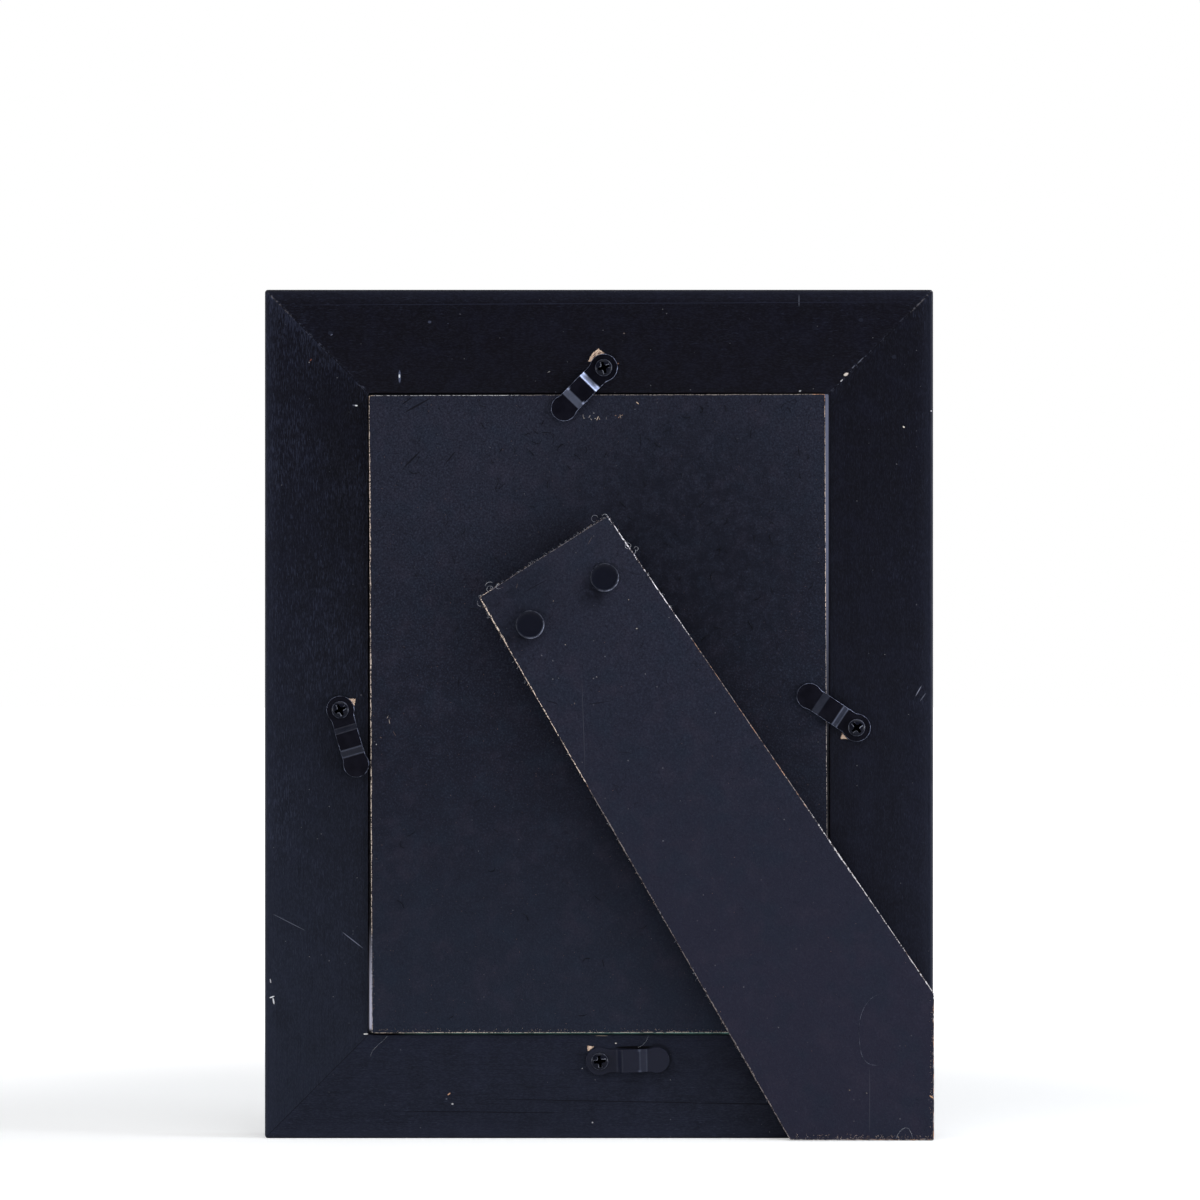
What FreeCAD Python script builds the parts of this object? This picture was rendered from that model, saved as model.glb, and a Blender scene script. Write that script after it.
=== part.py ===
# Easel back photo frame: rails, glass, print, back board, hinged strut leg and turn buttons.
#
# The frame stands upright, +Z up. The picture side faces +Y and the easel side faces -Y.
# X runs to the right as seen from behind. The origin is on the table, under the middle of
# the frame. The leg is folded shut, and each turn button points the way it was left.
# All sizes are in millimetres and all angles in degrees.

import FreeCAD, Part
import math
import os
import re
import Sketcher

document = FreeCAD.newDocument("EaselBackFrame")
sheet = document.addObject("Spreadsheet::Sheet", "Sizes")

# Driving dimensions. Every size is written here once, and every feature is bound to it.
SIZES = {
    # rails
    "frame_width": 187.2,
    "frame_height": 237.7,
    "frame_depth": 16.0,
    "rail_back_width": 29.0,
    "rebate_lip": 6.0,
    "rebate_depth": 4.4,
    "outer_arris_radius": 1.0,
    "corner_extra_radius": 0.4,
    "sight_bevel": 2.5,
    # mitre nails
    "nail_place_share": 0.53,
    "nail_wing": 6.8,
    "nail_thickness": 0.5,
    "nail_length": 7.0,
    "nail_cover": 0.4,
    # glass, print and back board
    "glass_thickness": 2.0,
    "glass_clearance": 0.25,
    "print_thickness": 0.25,
    "print_clearance": 0.9,
    "board_thickness": 3.0,
    "board_clearance": 0.45,
    "board_arris": 0.3,
    "board_skew_share": 0.65,
    # hinge
    "hinge_across_share": -0.0721,
    "hinge_up_share": 0.6643,
    "hinge_pin_radius": 0.5,
    "hinge_pin_clearance": 0.05,
    "hinge_clearance": 0.3,
    "leaf_thickness": 0.8,
    "leaf_side_margin": 2.3,
    "leaf_end_margin": 4.85,
    "leaf_corner_radius": 2.0,
    # strut leg
    "strut_tilt_angle": 32.3,
    "strut_opening_angle": 30.0,
    "strut_thickness": 2.5,
    "strut_top_width": 42.0,
    "strut_top_shift": 0.95,
    "strut_corner_radius": 0.6,
    "stop_clearance": 0.3,
    "foot_inset": 0.4,
    "foot_corner_share": 0.1725,
    "foot_heel_share": 0.2858,
    # rivets
    "rivet_shank_radius": 1.5,
    "rivet_drop": 8.75,
    "rivet_end_radius": 2.4,
    "rivet_end_thickness": 0.5,
    "strut_rivet_margin": 8.7,
    "strut_rivet_head_radius": 4.05,
    "strut_rivet_head_thickness": 0.9,
    "strut_rivet_rim_share": 0.5,
    "board_rivet_spacing": 12.0,
    "board_rivet_head_radius": 3.0,
    "board_rivet_head_thickness": 0.8,
    # turn buttons, measured along the strip from the screw
    "button_thickness": 0.8,
    "button_play": 0.1,
    "button_bore_clearance": 0.1,
    "button_head_radius": 3.9,
    "button_tip_radius": 3.6,
    "button_neck_inset": 0.7,
    "button_neck_radius": 3.0,
    "button_rise_start": 4.9,
    "button_rise_run": 1.4,
    "button_hump_run": 4.9,
    "button_hump_lift": 1.0,
    "button_fall_run": 2.0,
    "button_tip_run": 2.7,
    "button_tip_clearance": 0.15,
    "button_bend_radius": 0.35,
    # screws
    "screw_head_radius": 2.4,
    "screw_head_rim": 0.35,
    "screw_head_dome": 0.6,
    "screw_shank_radius": 1.1,
    "screw_length": 9.0,
    "screw_point_length": 2.0,
    "recess_span": 2.9,
    "recess_slot": 0.75,
    "recess_depth": 0.7,
    # where each turn button sits: its setback from the rebate and its shift along the rail,
    # to the right or up, then which way it and the cross in its screw point
    "top_button_setback": 7.1,
    "top_button_shift": 1.3,
    "top_button_angle": 225.7,
    "top_screw_angle": 18.0,
    "right_button_setback": 7.5,
    "right_button_shift": -3.8,
    "right_button_angle": 146.2,
    "right_screw_angle": 38.0,
    "bottom_button_setback": 7.3,
    "bottom_button_shift": 0.2,
    "bottom_button_angle": 1.4,
    "bottom_screw_angle": 8.0,
    "left_button_setback": 7.8,
    "left_button_shift": 1.2,
    "left_button_angle": 286.4,
    "left_screw_angle": 27.0,
    # how far a cutting outline runs past the material that it removes
    "overrun": 1.0,
}

for row, (alias, value) in enumerate(SIZES.items(), start=1):
    sheet.set(f"A{row}", alias.replace("_", " "))
    sheet.set(f"B{row}", str(value))
    sheet.setAlias(f"B{row}", alias)
document.recompute()

# Sizes that follow from the driving ones, written as expressions of their names.
HALF_WIDTH = "(frame_width / 2)"
HALF_HEIGHT = "(frame_height / 2)"
RAIL_WIDTH = "(rail_back_width + rebate_lip)"
CORNER_RADIUS = "(outer_arris_radius + corner_extra_radius)"
OPENING_WIDTH = "(frame_width - 2 * rail_back_width)"
OPENING_HEIGHT = "(frame_height - 2 * rail_back_width)"
NAIL_PLACE = "(rail_back_width * nail_place_share)"

# Depths, from the picture side to the easel side.
FRONT_FACE = "(frame_depth / 2)"
BACK_FACE = "(-frame_depth / 2)"
REBATE_FLOOR = f"({BACK_FACE} + rebate_depth)"
GLASS_BACK = f"({REBATE_FLOOR} - glass_thickness)"
PRINT_BACK = f"({GLASS_BACK} - print_thickness)"
BOARD_BACK = f"({PRINT_BACK} - board_thickness)"
BOARD_PROUD = f"({BACK_FACE} - {BOARD_BACK})"

# The board and the small turn that its clearance lets it take.
BOARD_WIDTH = f"({OPENING_WIDTH} - 2 * board_clearance)"
BOARD_HEIGHT = f"({OPENING_HEIGHT} - 2 * board_clearance)"
BOARD_SKEW = f"atan(board_skew_share * 2 * board_clearance / {BOARD_HEIGHT})"

# The hinge's knuckles, as thick as its leaves, keep the folded leg off the board.
KNUCKLE_RADIUS = "(hinge_pin_radius + leaf_thickness)"
AXIS_HEIGHT = f"({KNUCKLE_RADIUS} + hinge_clearance)"
STRUT_FRONT = f"({BOARD_BACK} - 2 * {AXIS_HEIGHT})"
RUNNING_BORE = "(hinge_pin_radius + hinge_pin_clearance)"
HINGE_ACROSS = "(frame_width * hinge_across_share)"
HINGE_DEPTH = f"({BOARD_BACK} - {AXIS_HEIGHT})"
HINGE_UP = "(frame_height * hinge_up_share)"
STRUT_RIVET_SPACING = "(strut_top_width - 2 * strut_rivet_margin)"
LEAF_WIDTH = f"({STRUT_RIVET_SPACING} + 2 * (rivet_end_radius + leaf_side_margin))"
LEAF_LENGTH = "(rivet_drop + rivet_end_radius + leaf_end_margin)"
KNUCKLE_COUNT = 5
KNUCKLE_LENGTH = f"(({LEAF_WIDTH} - {KNUCKLE_COUNT - 1} * hinge_clearance) / {KNUCKLE_COUNT})"

# The leg's top stands this far above the axis, so that it meets the board at full opening.
STOP_DROP = f"({AXIS_HEIGHT} * (1 + cos(strut_opening_angle)) - stop_clearance)"
STOP_OVERHANG = f"({STOP_DROP} / sin(strut_opening_angle))"

# Heights of a turn button's underside above the rail's back face.
TIP_LIFT = f"(max({BOARD_PROUD}; 0) + button_tip_clearance)"
HUMP_LIFT = f"({TIP_LIFT} + button_hump_lift)"

# How deep a screw reaches into its rail.
SCREW_DEPTH = "(screw_length - button_thickness - 2 * button_play)"


def linked(expression):
    """An expression with the name of each size pointed at its cell."""
    return re.sub(
        "[a-z_]+",
        lambda word: f"Sizes.{word[0]}" if word[0] in SIZES else word[0],
        str(expression),
    )


def number(expression):
    """The present value of an expression."""
    value = sheet.evalExpression(linked(expression))
    return float(getattr(value, "Value", value))


def hinge_point(across, down):
    """Where a point lies that is given along the hinge's axis and down the folded leg."""
    x = f"({HINGE_ACROSS} + ({across}) * cos(strut_tilt_angle) + ({down}) * sin(strut_tilt_angle))"
    z = f"({HINGE_UP} + ({across}) * sin(strut_tilt_angle) - ({down}) * cos(strut_tilt_angle))"
    return x, z


def pair(spacing):
    """The places of a left and a right rivet across the hinge."""
    return {"left": f"(-{spacing} / 2)", "right": f"({spacing} / 2)"}


def button_inset(side):
    """How far a turn button's screw lies from the frame's outer side."""
    return f"(rail_back_width - {side}_button_setback)"


# Helpers for bodies, sketches and features.


def new_body(label, x, y, z, turn="0"):
    """An empty sub-part at x, y, z, turned anticlockwise as seen from behind."""
    body = document.addObject("PartDesign::Body", label)
    body.Label = label
    body.setExpression(".Placement.Base.x", linked(x))
    body.setExpression(".Placement.Base.y", linked(y))
    body.setExpression(".Placement.Base.z", linked(z))
    body.Placement.Rotation = FreeCAD.Rotation(FreeCAD.Vector(0, -1, 0), number(turn))
    body.setExpression(".Placement.Rotation.Angle", linked(turn))
    return body


def new_sketch(body, plane, offset="0"):
    """A sketch on one of the body's own origin planes, moved along the plane's normal."""
    sketch = body.newObject("Sketcher::SketchObject", f"{body.Label}_sketch")
    support = [item for item in body.Origin.OriginFeatures if item.Role == plane][0]
    sketch.AttachmentSupport = (support, [""])
    sketch.MapMode = "FlatFace"
    sketch.setExpression(".AttachmentOffset.Base.z", linked(offset))
    return sketch


def bind(sketch, kind, geometry, point, expression):
    """Fix one coordinate of a sketch's point to an expression."""
    constraint = Sketcher.Constraint(kind, -1, 1, geometry, point, number(expression))
    index = sketch.addConstraint(constraint)
    sketch.setExpression(f"Constraints[{index}]", linked(expression))


def add_loop(sketch, points):
    """Close a loop through points, each (x, y) or (x, y, centre x, centre y, side).

    The longer form reaches its point on an arc about the centre that bends to the
    "left" or to the "right" of the way the loop runs.
    """
    first = sketch.GeometryCount
    ends = []
    for index, point in enumerate(points):
        before = points[index - 1]
        start = FreeCAD.Vector(number(before[0]), number(before[1]), 0)
        end = FreeCAD.Vector(number(point[0]), number(point[1]), 0)
        if len(point) == 2:
            sketch.addGeometry(Part.LineSegment(start, end))
            ends.append((1, 2))
            continue
        centre = FreeCAD.Vector(number(point[2]), number(point[3]), 0)
        circle = Part.Circle(centre, FreeCAD.Vector(0, 0, 1), (start - centre).Length)
        bends_left = point[4] == "left"
        arc_start, arc_end = (start, end) if bends_left else (end, start)
        arc = Part.ArcOfCircle(circle, circle.parameter(arc_start), circle.parameter(arc_end))
        sketch.addGeometry(arc)
        ends.append((1, 2) if bends_left else (2, 1))
    for index, point in enumerate(points):
        edge = first + index
        after = (index + 1) % len(points)
        joined = Sketcher.Constraint("Coincident", edge, ends[index][1], first + after, ends[after][0])
        sketch.addConstraint(joined)
        bind(sketch, "DistanceX", edge, ends[index][1], point[0])
        bind(sketch, "DistanceY", edge, ends[index][1], point[1])
        if len(point) == 2:
            continue
        chord_x = number(point[0]) - number(points[index - 1][0])
        chord_y = number(point[1]) - number(points[index - 1][1])
        if abs(chord_y) >= abs(chord_x):
            bind(sketch, "DistanceX", edge, 3, point[2])
        else:
            bind(sketch, "DistanceY", edge, 3, point[3])


def rounded(corners):
    """The points of a loop whose right-angled corners (x, y, radius) are rounded."""
    points = []
    for index, corner in enumerate(corners):
        if len(corner) == 2:
            points.append(corner)
            continue
        x, y, radius = corner
        steps = []
        for neighbour in (corners[index - 1], corners[(index + 1) % len(corners)]):
            step_x = number(neighbour[0]) - number(x)
            step_y = number(neighbour[1]) - number(y)
            if abs(step_x) > abs(step_y):
                steps.append((math.copysign(1, step_x), 0))
            else:
                steps.append((0, math.copysign(1, step_y)))
        (in_x, in_y), (out_x, out_y) = steps
        centre_x = f"({x} + ({in_x + out_x}) * {radius})"
        centre_y = f"({y} + ({in_y + out_y}) * {radius})"
        side = "left" if in_y * out_x > in_x * out_y else "right"
        points.append((f"({x} + ({in_x}) * {radius})", f"({y} + ({in_y}) * {radius})"))
        points.append(
            (f"({x} + ({out_x}) * {radius})", f"({y} + ({out_y}) * {radius})", centre_x, centre_y, side)
        )
    return points


def rectangle(left, low, right, high):
    """The corners of a rectangle."""
    return [(left, low), (right, low), (right, high), (left, high)]


def mirrored(points):
    """The same loop on the other side of the middle."""
    turned = {"left": "right", "right": "left"}
    flipped = []
    for point in points:
        if len(point) == 2:
            flipped.append((f"(-{point[0]})", point[1]))
        else:
            flipped.append((f"(-{point[0]})", point[1], f"(-{point[2]})", point[3], turned[point[4]]))
    return flipped


def add_circle(sketch, x, y, radius):
    """A full circle about x, y."""
    centre = FreeCAD.Vector(number(x), number(y), 0)
    circle = Part.Circle(centre, FreeCAD.Vector(0, 0, 1), number(radius))
    geometry = sketch.addGeometry(circle)
    bind(sketch, "DistanceX", geometry, 3, x)
    bind(sketch, "DistanceY", geometry, 3, y)
    index = sketch.addConstraint(Sketcher.Constraint("Radius", geometry, number(radius)))
    sketch.setExpression(f"Constraints[{index}]", linked(radius))


def pad(body, sketch, length, way="along"):
    """Raise a sketch along its plane's normal, against it, or by half the length each way."""
    feature = body.newObject("PartDesign::Pad", f"{body.Label}_pad")
    feature.Profile = sketch
    feature.SideType = "Symmetric" if way == "both" else "One side"
    feature.Reversed = way == "against"
    feature.setExpression("Length", linked(length))
    document.recompute()


def pocket(body, sketch, depth=None, way="along"):
    """Cut a sketch right through, or to a depth along its plane's normal or against it."""
    before = body.Shape.Volume
    feature = body.newObject("PartDesign::Pocket", f"{body.Label}_pocket")
    feature.Profile = sketch
    if depth is None:
        feature.SideType = "Symmetric"
        feature.Type = "ThroughAll"
    else:
        feature.Reversed = way == "along"
        feature.setExpression("Length", linked(depth))
    document.recompute()
    if not body.Shape.Volume < before:
        raise RuntimeError(f"{body.Label}: a pocket removed nothing")


def revolve(body, sketch):
    """Turn a profile once round the sketch's upright axis."""
    feature = body.newObject("PartDesign::Revolution", f"{body.Label}_revolution")
    feature.Profile = sketch
    feature.ReferenceAxis = (sketch, ["V_Axis"])
    document.recompute()


def soften(body, kind, size, wanted):
    """Fillet or chamfer every edge whose two ends are wanted."""
    base = body.Tip
    names = []
    for index, edge in enumerate(base.Shape.Edges, start=1):
        ends = [vertex.Point for vertex in edge.Vertexes]
        if len(ends) == 2 and wanted(*ends):
            names.append(f"Edge{index}")
    if not names:
        raise RuntimeError(f"{body.Label}: no edge to soften")
    feature = body.newObject(f"PartDesign::{kind}", f"{body.Label}_{kind.lower()}")
    feature.Base = (base, names)
    feature.setExpression("Radius" if kind == "Fillet" else "Size", linked(size))
    document.recompute()


def runs_along(start, end, axis):
    """Whether an edge runs along the axis x, y or z."""
    return math.isclose(abs(getattr(end - start, axis)), (end - start).Length)


# Rails. In its own frame a rail runs along X, with its outer side at Z 0 and the picture
# opening above it. Its mitres also round its half of the frame's two outer corners.


def rail_profile():
    """The moulding's section: a rebate behind, and a bevel along the picture."""
    return [
        (BACK_FACE, "0"),
        (FRONT_FACE, "0"),
        (FRONT_FACE, f"({RAIL_WIDTH} - sight_bevel)"),
        (f"({FRONT_FACE} - sight_bevel)", RAIL_WIDTH),
        (REBATE_FLOOR, RAIL_WIDTH),
        (REBATE_FLOOR, "rail_back_width"),
        (BACK_FACE, "rail_back_width"),
    ]


def rail_mitre(length):
    """The outline cut away at the rail's +X end."""
    end = f"({length} / 2)"
    middle = f"({CORNER_RADIUS} * (1 - sin(45)))"
    return [
        (f"({end} - {CORNER_RADIUS})", "0"),
        (f"({end} - {middle})", middle, f"({end} - {CORNER_RADIUS})", CORNER_RADIUS, "left"),
        (f"({end} - {RAIL_WIDTH} - overrun)", f"({RAIL_WIDTH} + overrun)"),
        (f"({end} + overrun)", f"({RAIL_WIDTH} + overrun)"),
        (f"({end} + overrun)", "(-overrun)"),
        (f"({end} - {CORNER_RADIUS})", "(-overrun)"),
    ]


def nail_slot(length):
    """The outline of the slot for a nail's wing at the rail's +X end."""
    apex = f"({length} / 2 - {NAIL_PLACE})"
    return rectangle(
        f"({apex} - nail_wing)",
        f"({NAIL_PLACE} - nail_thickness / 2)",
        f"({apex} + overrun)",
        f"({NAIL_PLACE} + nail_thickness / 2)",
    )


def make_rail(side, length, x, z, turn, screw_along):
    """One rebated rail with mitred ends, nail slots and the screw's pilot hole."""
    body = new_body(f"frame_rail_{side}", x, "0", z, turn)
    profile = new_sketch(body, "YZ_Plane")
    add_loop(profile, rail_profile())
    pad(body, profile, length, "both")

    for outline in (rail_mitre(length), mirrored(rail_mitre(length))):
        mitre = new_sketch(body, "XZ_Plane")
        add_loop(mitre, outline)
        pocket(body, mitre)

    face = number(FRONT_FACE)
    corner = number(CORNER_RADIUS)

    def is_outer(start, end):
        lies_on_a_face = math.isclose(start.y, end.y) and math.isclose(abs(start.y), face)
        return lies_on_a_face and max(start.z, end.z) < corner

    soften(body, "Fillet", "outer_arris_radius", is_outer)

    slots = new_sketch(body, "XZ_Plane", f"(-{BACK_FACE} - nail_cover)")
    add_loop(slots, nail_slot(length))
    add_loop(slots, mirrored(nail_slot(length)))
    pocket(body, slots, "nail_length", "against")

    pilot = new_sketch(body, "XZ_Plane", f"(-{BACK_FACE})")
    add_circle(pilot, screw_along, button_inset(side), "screw_shank_radius")
    pocket(body, pilot, SCREW_DEPTH, "against")


make_rail("bottom", "frame_width", "0", "0", "0", "bottom_button_shift")
make_rail("right", "frame_height", HALF_WIDTH, HALF_HEIGHT, "90", "right_button_shift")
make_rail("top", "frame_width", "0", "frame_height", "180", "(-top_button_shift)")
make_rail("left", "frame_height", f"(-{HALF_WIDTH})", HALF_HEIGHT, "270", "(-left_button_shift)")


# Mitre nails: bent steel wings driven into each joint from behind and filled over.


def make_nail(corner, x, z, turn):
    """One L-shaped nail with a wing in each rail of its corner."""
    body = new_body(f"mitre_nail_{corner}", x, f"({BACK_FACE} + nail_cover)", z, turn)
    half = "(nail_thickness / 2)"
    outline = new_sketch(body, "XZ_Plane")
    add_loop(outline, [
        (half, f"(-{half})"),
        (half, "nail_wing"),
        (f"(-{half})", "nail_wing"),
        (f"(-{half})", half),
        ("(-nail_wing)", half),
        ("(-nail_wing)", f"(-{half})"),
    ])
    pad(body, outline, "nail_length", "against")


NAIL_ACROSS = f"({HALF_WIDTH} - {NAIL_PLACE})"
NAIL_UP = f"(frame_height - {NAIL_PLACE})"
make_nail("bottom_right", NAIL_ACROSS, NAIL_PLACE, "0")
make_nail("top_right", NAIL_ACROSS, NAIL_UP, "90")
make_nail("top_left", f"(-{NAIL_ACROSS})", NAIL_UP, "180")
make_nail("bottom_left", f"(-{NAIL_ACROSS})", NAIL_PLACE, "270")


# Glass, print and back board, packed one behind the other in the rebate.


def make_flat(label, width, height, thickness, front, turn="0"):
    """A flat rectangular piece about the middle of the opening, from its front face back."""
    body = new_body(label, "0", front, HALF_HEIGHT, turn)
    outline = new_sketch(body, "XZ_Plane")
    across = f"({width} / 2)"
    up = f"({height} / 2)"
    add_loop(outline, rectangle(f"(-{across})", f"(-{up})", across, up))
    pad(body, outline, thickness)
    return body


make_flat(
    "glass_pane",
    f"({OPENING_WIDTH} - 2 * glass_clearance)",
    f"({OPENING_HEIGHT} - 2 * glass_clearance)",
    "glass_thickness",
    REBATE_FLOOR,
)
make_flat(
    "print_sheet",
    f"({OPENING_WIDTH} - 2 * print_clearance)",
    f"({OPENING_HEIGHT} - 2 * print_clearance)",
    "print_thickness",
    GLASS_BACK,
)


def board_point(across, down):
    """A point given as hinge_point takes it, in the skewed board's own frame."""
    x, z = hinge_point(across, down)
    rise = f"({z} - {HALF_HEIGHT})"
    return (
        f"({x} * cos({BOARD_SKEW}) + {rise} * sin({BOARD_SKEW}))",
        f"({rise} * cos({BOARD_SKEW}) - {x} * sin({BOARD_SKEW}))",
    )


def make_back_board():
    """The back, with worn rear edges and stepped holes for the board leaf's rivets."""
    body = make_flat("back_board", BOARD_WIDTH, BOARD_HEIGHT, "board_thickness", PRINT_BACK, BOARD_SKEW)
    rear = -number("board_thickness")

    def is_rear(start, end):
        return math.isclose(start.y, rear) and math.isclose(end.y, rear)

    soften(body, "Chamfer", "board_arris", is_rear)

    shanks = new_sketch(body, "XZ_Plane")
    recesses = new_sketch(body, "XZ_Plane")
    for across in pair("board_rivet_spacing").values():
        x, z = board_point(across, "rivet_drop")
        add_circle(shanks, x, z, "rivet_shank_radius")
        add_circle(recesses, x, z, "board_rivet_head_radius")
    pocket(body, shanks)
    pocket(body, recesses, "board_rivet_head_thickness")


make_back_board()


# Hinge. In its own frame X runs along the axis, Z points up the folded leg, and Y is 0 at the
# axis, with the board towards +Y and the leg towards -Y.


def knuckle_windows(first_own):
    """Outlines of the gaps left for the other leaf's knuckles, which alternate with its own."""
    reach = f"({KNUCKLE_RADIUS} + hinge_clearance)"
    outlines = []
    for index in range(KNUCKLE_COUNT):
        if index % 2 == first_own:
            continue
        start = f"({index} * ({KNUCKLE_LENGTH} + hinge_clearance) - {LEAF_WIDTH} / 2)"
        end = f"({start} + {KNUCKLE_LENGTH})"
        before = "overrun" if index == 0 else "hinge_clearance"
        after = "overrun" if index == KNUCKLE_COUNT - 1 else "hinge_clearance"
        outlines.append(rectangle(f"({start} - {before})", f"(-{reach})", f"({end} + {after})", reach))
    return outlines


def make_leaf(label, face, way, rivet_spacing, first_own, bore):
    """A hinge leaf: a plate, the knuckles rolled on its upper edge, and its rivet holes."""
    body = new_body(label, HINGE_ACROSS, HINGE_DEPTH, HINGE_UP, "strut_tilt_angle")
    half = f"({LEAF_WIDTH} / 2)"
    plate = new_sketch(body, "XZ_Plane", face)
    add_loop(plate, rounded([
        (f"(-{half})", f"(-{LEAF_LENGTH})", "leaf_corner_radius"),
        (half, f"(-{LEAF_LENGTH})", "leaf_corner_radius"),
        (half, "0"),
        (f"(-{half})", "0"),
    ]))
    pad(body, plate, "leaf_thickness", way)

    barrel = new_sketch(body, "YZ_Plane")
    add_circle(barrel, "0", "0", KNUCKLE_RADIUS)
    pad(body, barrel, LEAF_WIDTH, "both")

    windows = new_sketch(body, "XZ_Plane")
    for outline in knuckle_windows(first_own):
        add_loop(windows, outline)
    pocket(body, windows)

    pin_hole = new_sketch(body, "YZ_Plane")
    add_circle(pin_hole, "0", "0", bore)
    pocket(body, pin_hole)

    rivet_holes = new_sketch(body, "XZ_Plane")
    for across in pair(rivet_spacing).values():
        add_circle(rivet_holes, across, "(-rivet_drop)", "rivet_shank_radius")
    pocket(body, rivet_holes)


make_leaf("hinge_board_leaf", f"(-{AXIS_HEIGHT})", "along", "board_rivet_spacing", 0, "hinge_pin_radius")
make_leaf("hinge_strut_leaf", AXIS_HEIGHT, "against", STRUT_RIVET_SPACING, 1, RUNNING_BORE)


def make_hinge_pin():
    """The pin, as long as the knuckles together."""
    body = new_body("hinge_pin", HINGE_ACROSS, HINGE_DEPTH, HINGE_UP, "strut_tilt_angle")
    section = new_sketch(body, "YZ_Plane")
    add_circle(section, "0", "0", "hinge_pin_radius")
    pad(body, section, LEAF_WIDTH, "both")


make_hinge_pin()


# Strut leg. Its top is square to its tilt. Its foot has two edges, one level with the frame's
# underside and one with its right side, so that it stands the frame upright or on that side.


def make_strut():
    """The five-cornered leg, folded shut, with its two rivet holes."""
    body = new_body("strut_leg", "0", STRUT_FRONT, "0")
    right = f"({HALF_WIDTH} - foot_inset)"
    outline = new_sketch(body, "XZ_Plane")
    add_loop(outline, [
        hinge_point("strut_top_shift - strut_top_width / 2", f"(-{STOP_OVERHANG})"),
        ("(frame_width * foot_heel_share)", "foot_inset"),
        (right, "foot_inset"),
        (right, "(frame_height * foot_corner_share)"),
        hinge_point("strut_top_shift + strut_top_width / 2", f"(-{STOP_OVERHANG})"),
    ])
    pad(body, outline, "strut_thickness")
    soften(body, "Fillet", "strut_corner_radius", lambda start, end: runs_along(start, end, "y"))

    holes = new_sketch(body, "XZ_Plane")
    for across in pair(STRUT_RIVET_SPACING).values():
        x, z = hinge_point(across, "rivet_drop")
        add_circle(holes, x, z, "rivet_shank_radius")
    pocket(body, holes)


make_strut()


# Rivets: each is turned about its own axis, from its flat head to its spread end.


def make_rivet(label, across, seat, head, stack, toward):
    """A rivet whose head sits on its seat and whose shank runs toward +Y (1) or -Y (-1)."""
    x, z = hinge_point(across, "rivet_drop")
    body = new_body(label, x, seat, z)
    end = f"({stack} + rivet_end_thickness)"
    section = [
        ("0", f"(-{head['thickness']})"),
        (head["radius"], f"(-{head['thickness']})") + head["rim"],
        (head["radius"], "0"),
        ("rivet_shank_radius", "0"),
        ("rivet_shank_radius", stack),
        ("rivet_end_radius", stack),
        ("rivet_end_radius", end),
        ("0", end),
    ]
    profile = new_sketch(body, "XY_Plane")
    add_loop(profile, rounded([(x, f"({toward} * {y})", *rim) for x, y, *rim in section]))
    revolve(body, profile)


def make_rivets():
    """The leg's two rivets, headed outside, and the board's two, headed inside."""
    strut_head = {
        "radius": "strut_rivet_head_radius",
        "thickness": "strut_rivet_head_thickness",
        "rim": ("(strut_rivet_head_thickness * strut_rivet_rim_share)",),
    }
    strut_stack = "(strut_thickness + leaf_thickness)"
    for side, across in pair(STRUT_RIVET_SPACING).items():
        seat = f"({STRUT_FRONT} - strut_thickness)"
        make_rivet(f"strut_rivet_{side}", across, seat, strut_head, strut_stack, 1)

    board_head = {
        "radius": "board_rivet_head_radius",
        "thickness": "board_rivet_head_thickness",
        "rim": (),
    }
    board_stack = "(board_thickness - board_rivet_head_thickness + leaf_thickness)"
    for side, across in pair("board_rivet_spacing").items():
        seat = f"({PRINT_BACK} - board_rivet_head_thickness)"
        make_rivet(f"board_rivet_{side}", across, seat, board_head, board_stack, -1)


make_rivets()


# Turn buttons. In its own frame a button runs along +X from its screw, with the rail's back
# face at Y 0 and its hump towards -Y.

BUTTON_BENDS = [
    "button_rise_start",
    "(button_rise_start + button_rise_run)",
    "(button_rise_start + button_rise_run + button_hump_run)",
    "(button_rise_start + button_rise_run + button_hump_run + button_fall_run)",
]
BUTTON_REACH = f"({BUTTON_BENDS[3]} + button_tip_run)"


def button_profile():
    """The bent strip from the side: flat head, rise, hump, fall and flat tip."""
    rise_start, rise_end, fall_start, fall_end = BUTTON_BENDS
    under = [
        ("(-button_head_radius - overrun)", "button_play"),
        (rise_start, "button_play"),
        (rise_end, HUMP_LIFT),
        (fall_start, HUMP_LIFT),
        (fall_end, TIP_LIFT),
        (f"({BUTTON_REACH} + button_tip_radius + overrun)", TIP_LIFT),
    ]
    over = [(x, f"({lift} + button_thickness)") for x, lift in reversed(under)]
    return [(x, f"(-{lift})") for x, lift in under + over]


def button_plan():
    """The button from behind: a round head, a waist and a round tip."""
    half = "(button_head_radius - button_neck_inset)"
    neck_y = f"({half} + button_neck_radius)"
    neck_x = f"sqrt((button_head_radius + button_neck_radius)^2 - {neck_y}^2)"
    head_share = "(button_head_radius / (button_head_radius + button_neck_radius))"
    return [
        (BUTTON_REACH, "button_tip_radius", BUTTON_REACH, "0", "left"),
        (neck_x, half),
        (f"({neck_x} * {head_share})", f"({neck_y} * {head_share})", neck_x, neck_y, "right"),
        (f"({neck_x} * {head_share})", f"(-{neck_y} * {head_share})", "0", "0", "left"),
        (neck_x, f"(-{half})", neck_x, f"(-{neck_y})", "right"),
        (BUTTON_REACH, "(-button_tip_radius)"),
    ]


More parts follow.
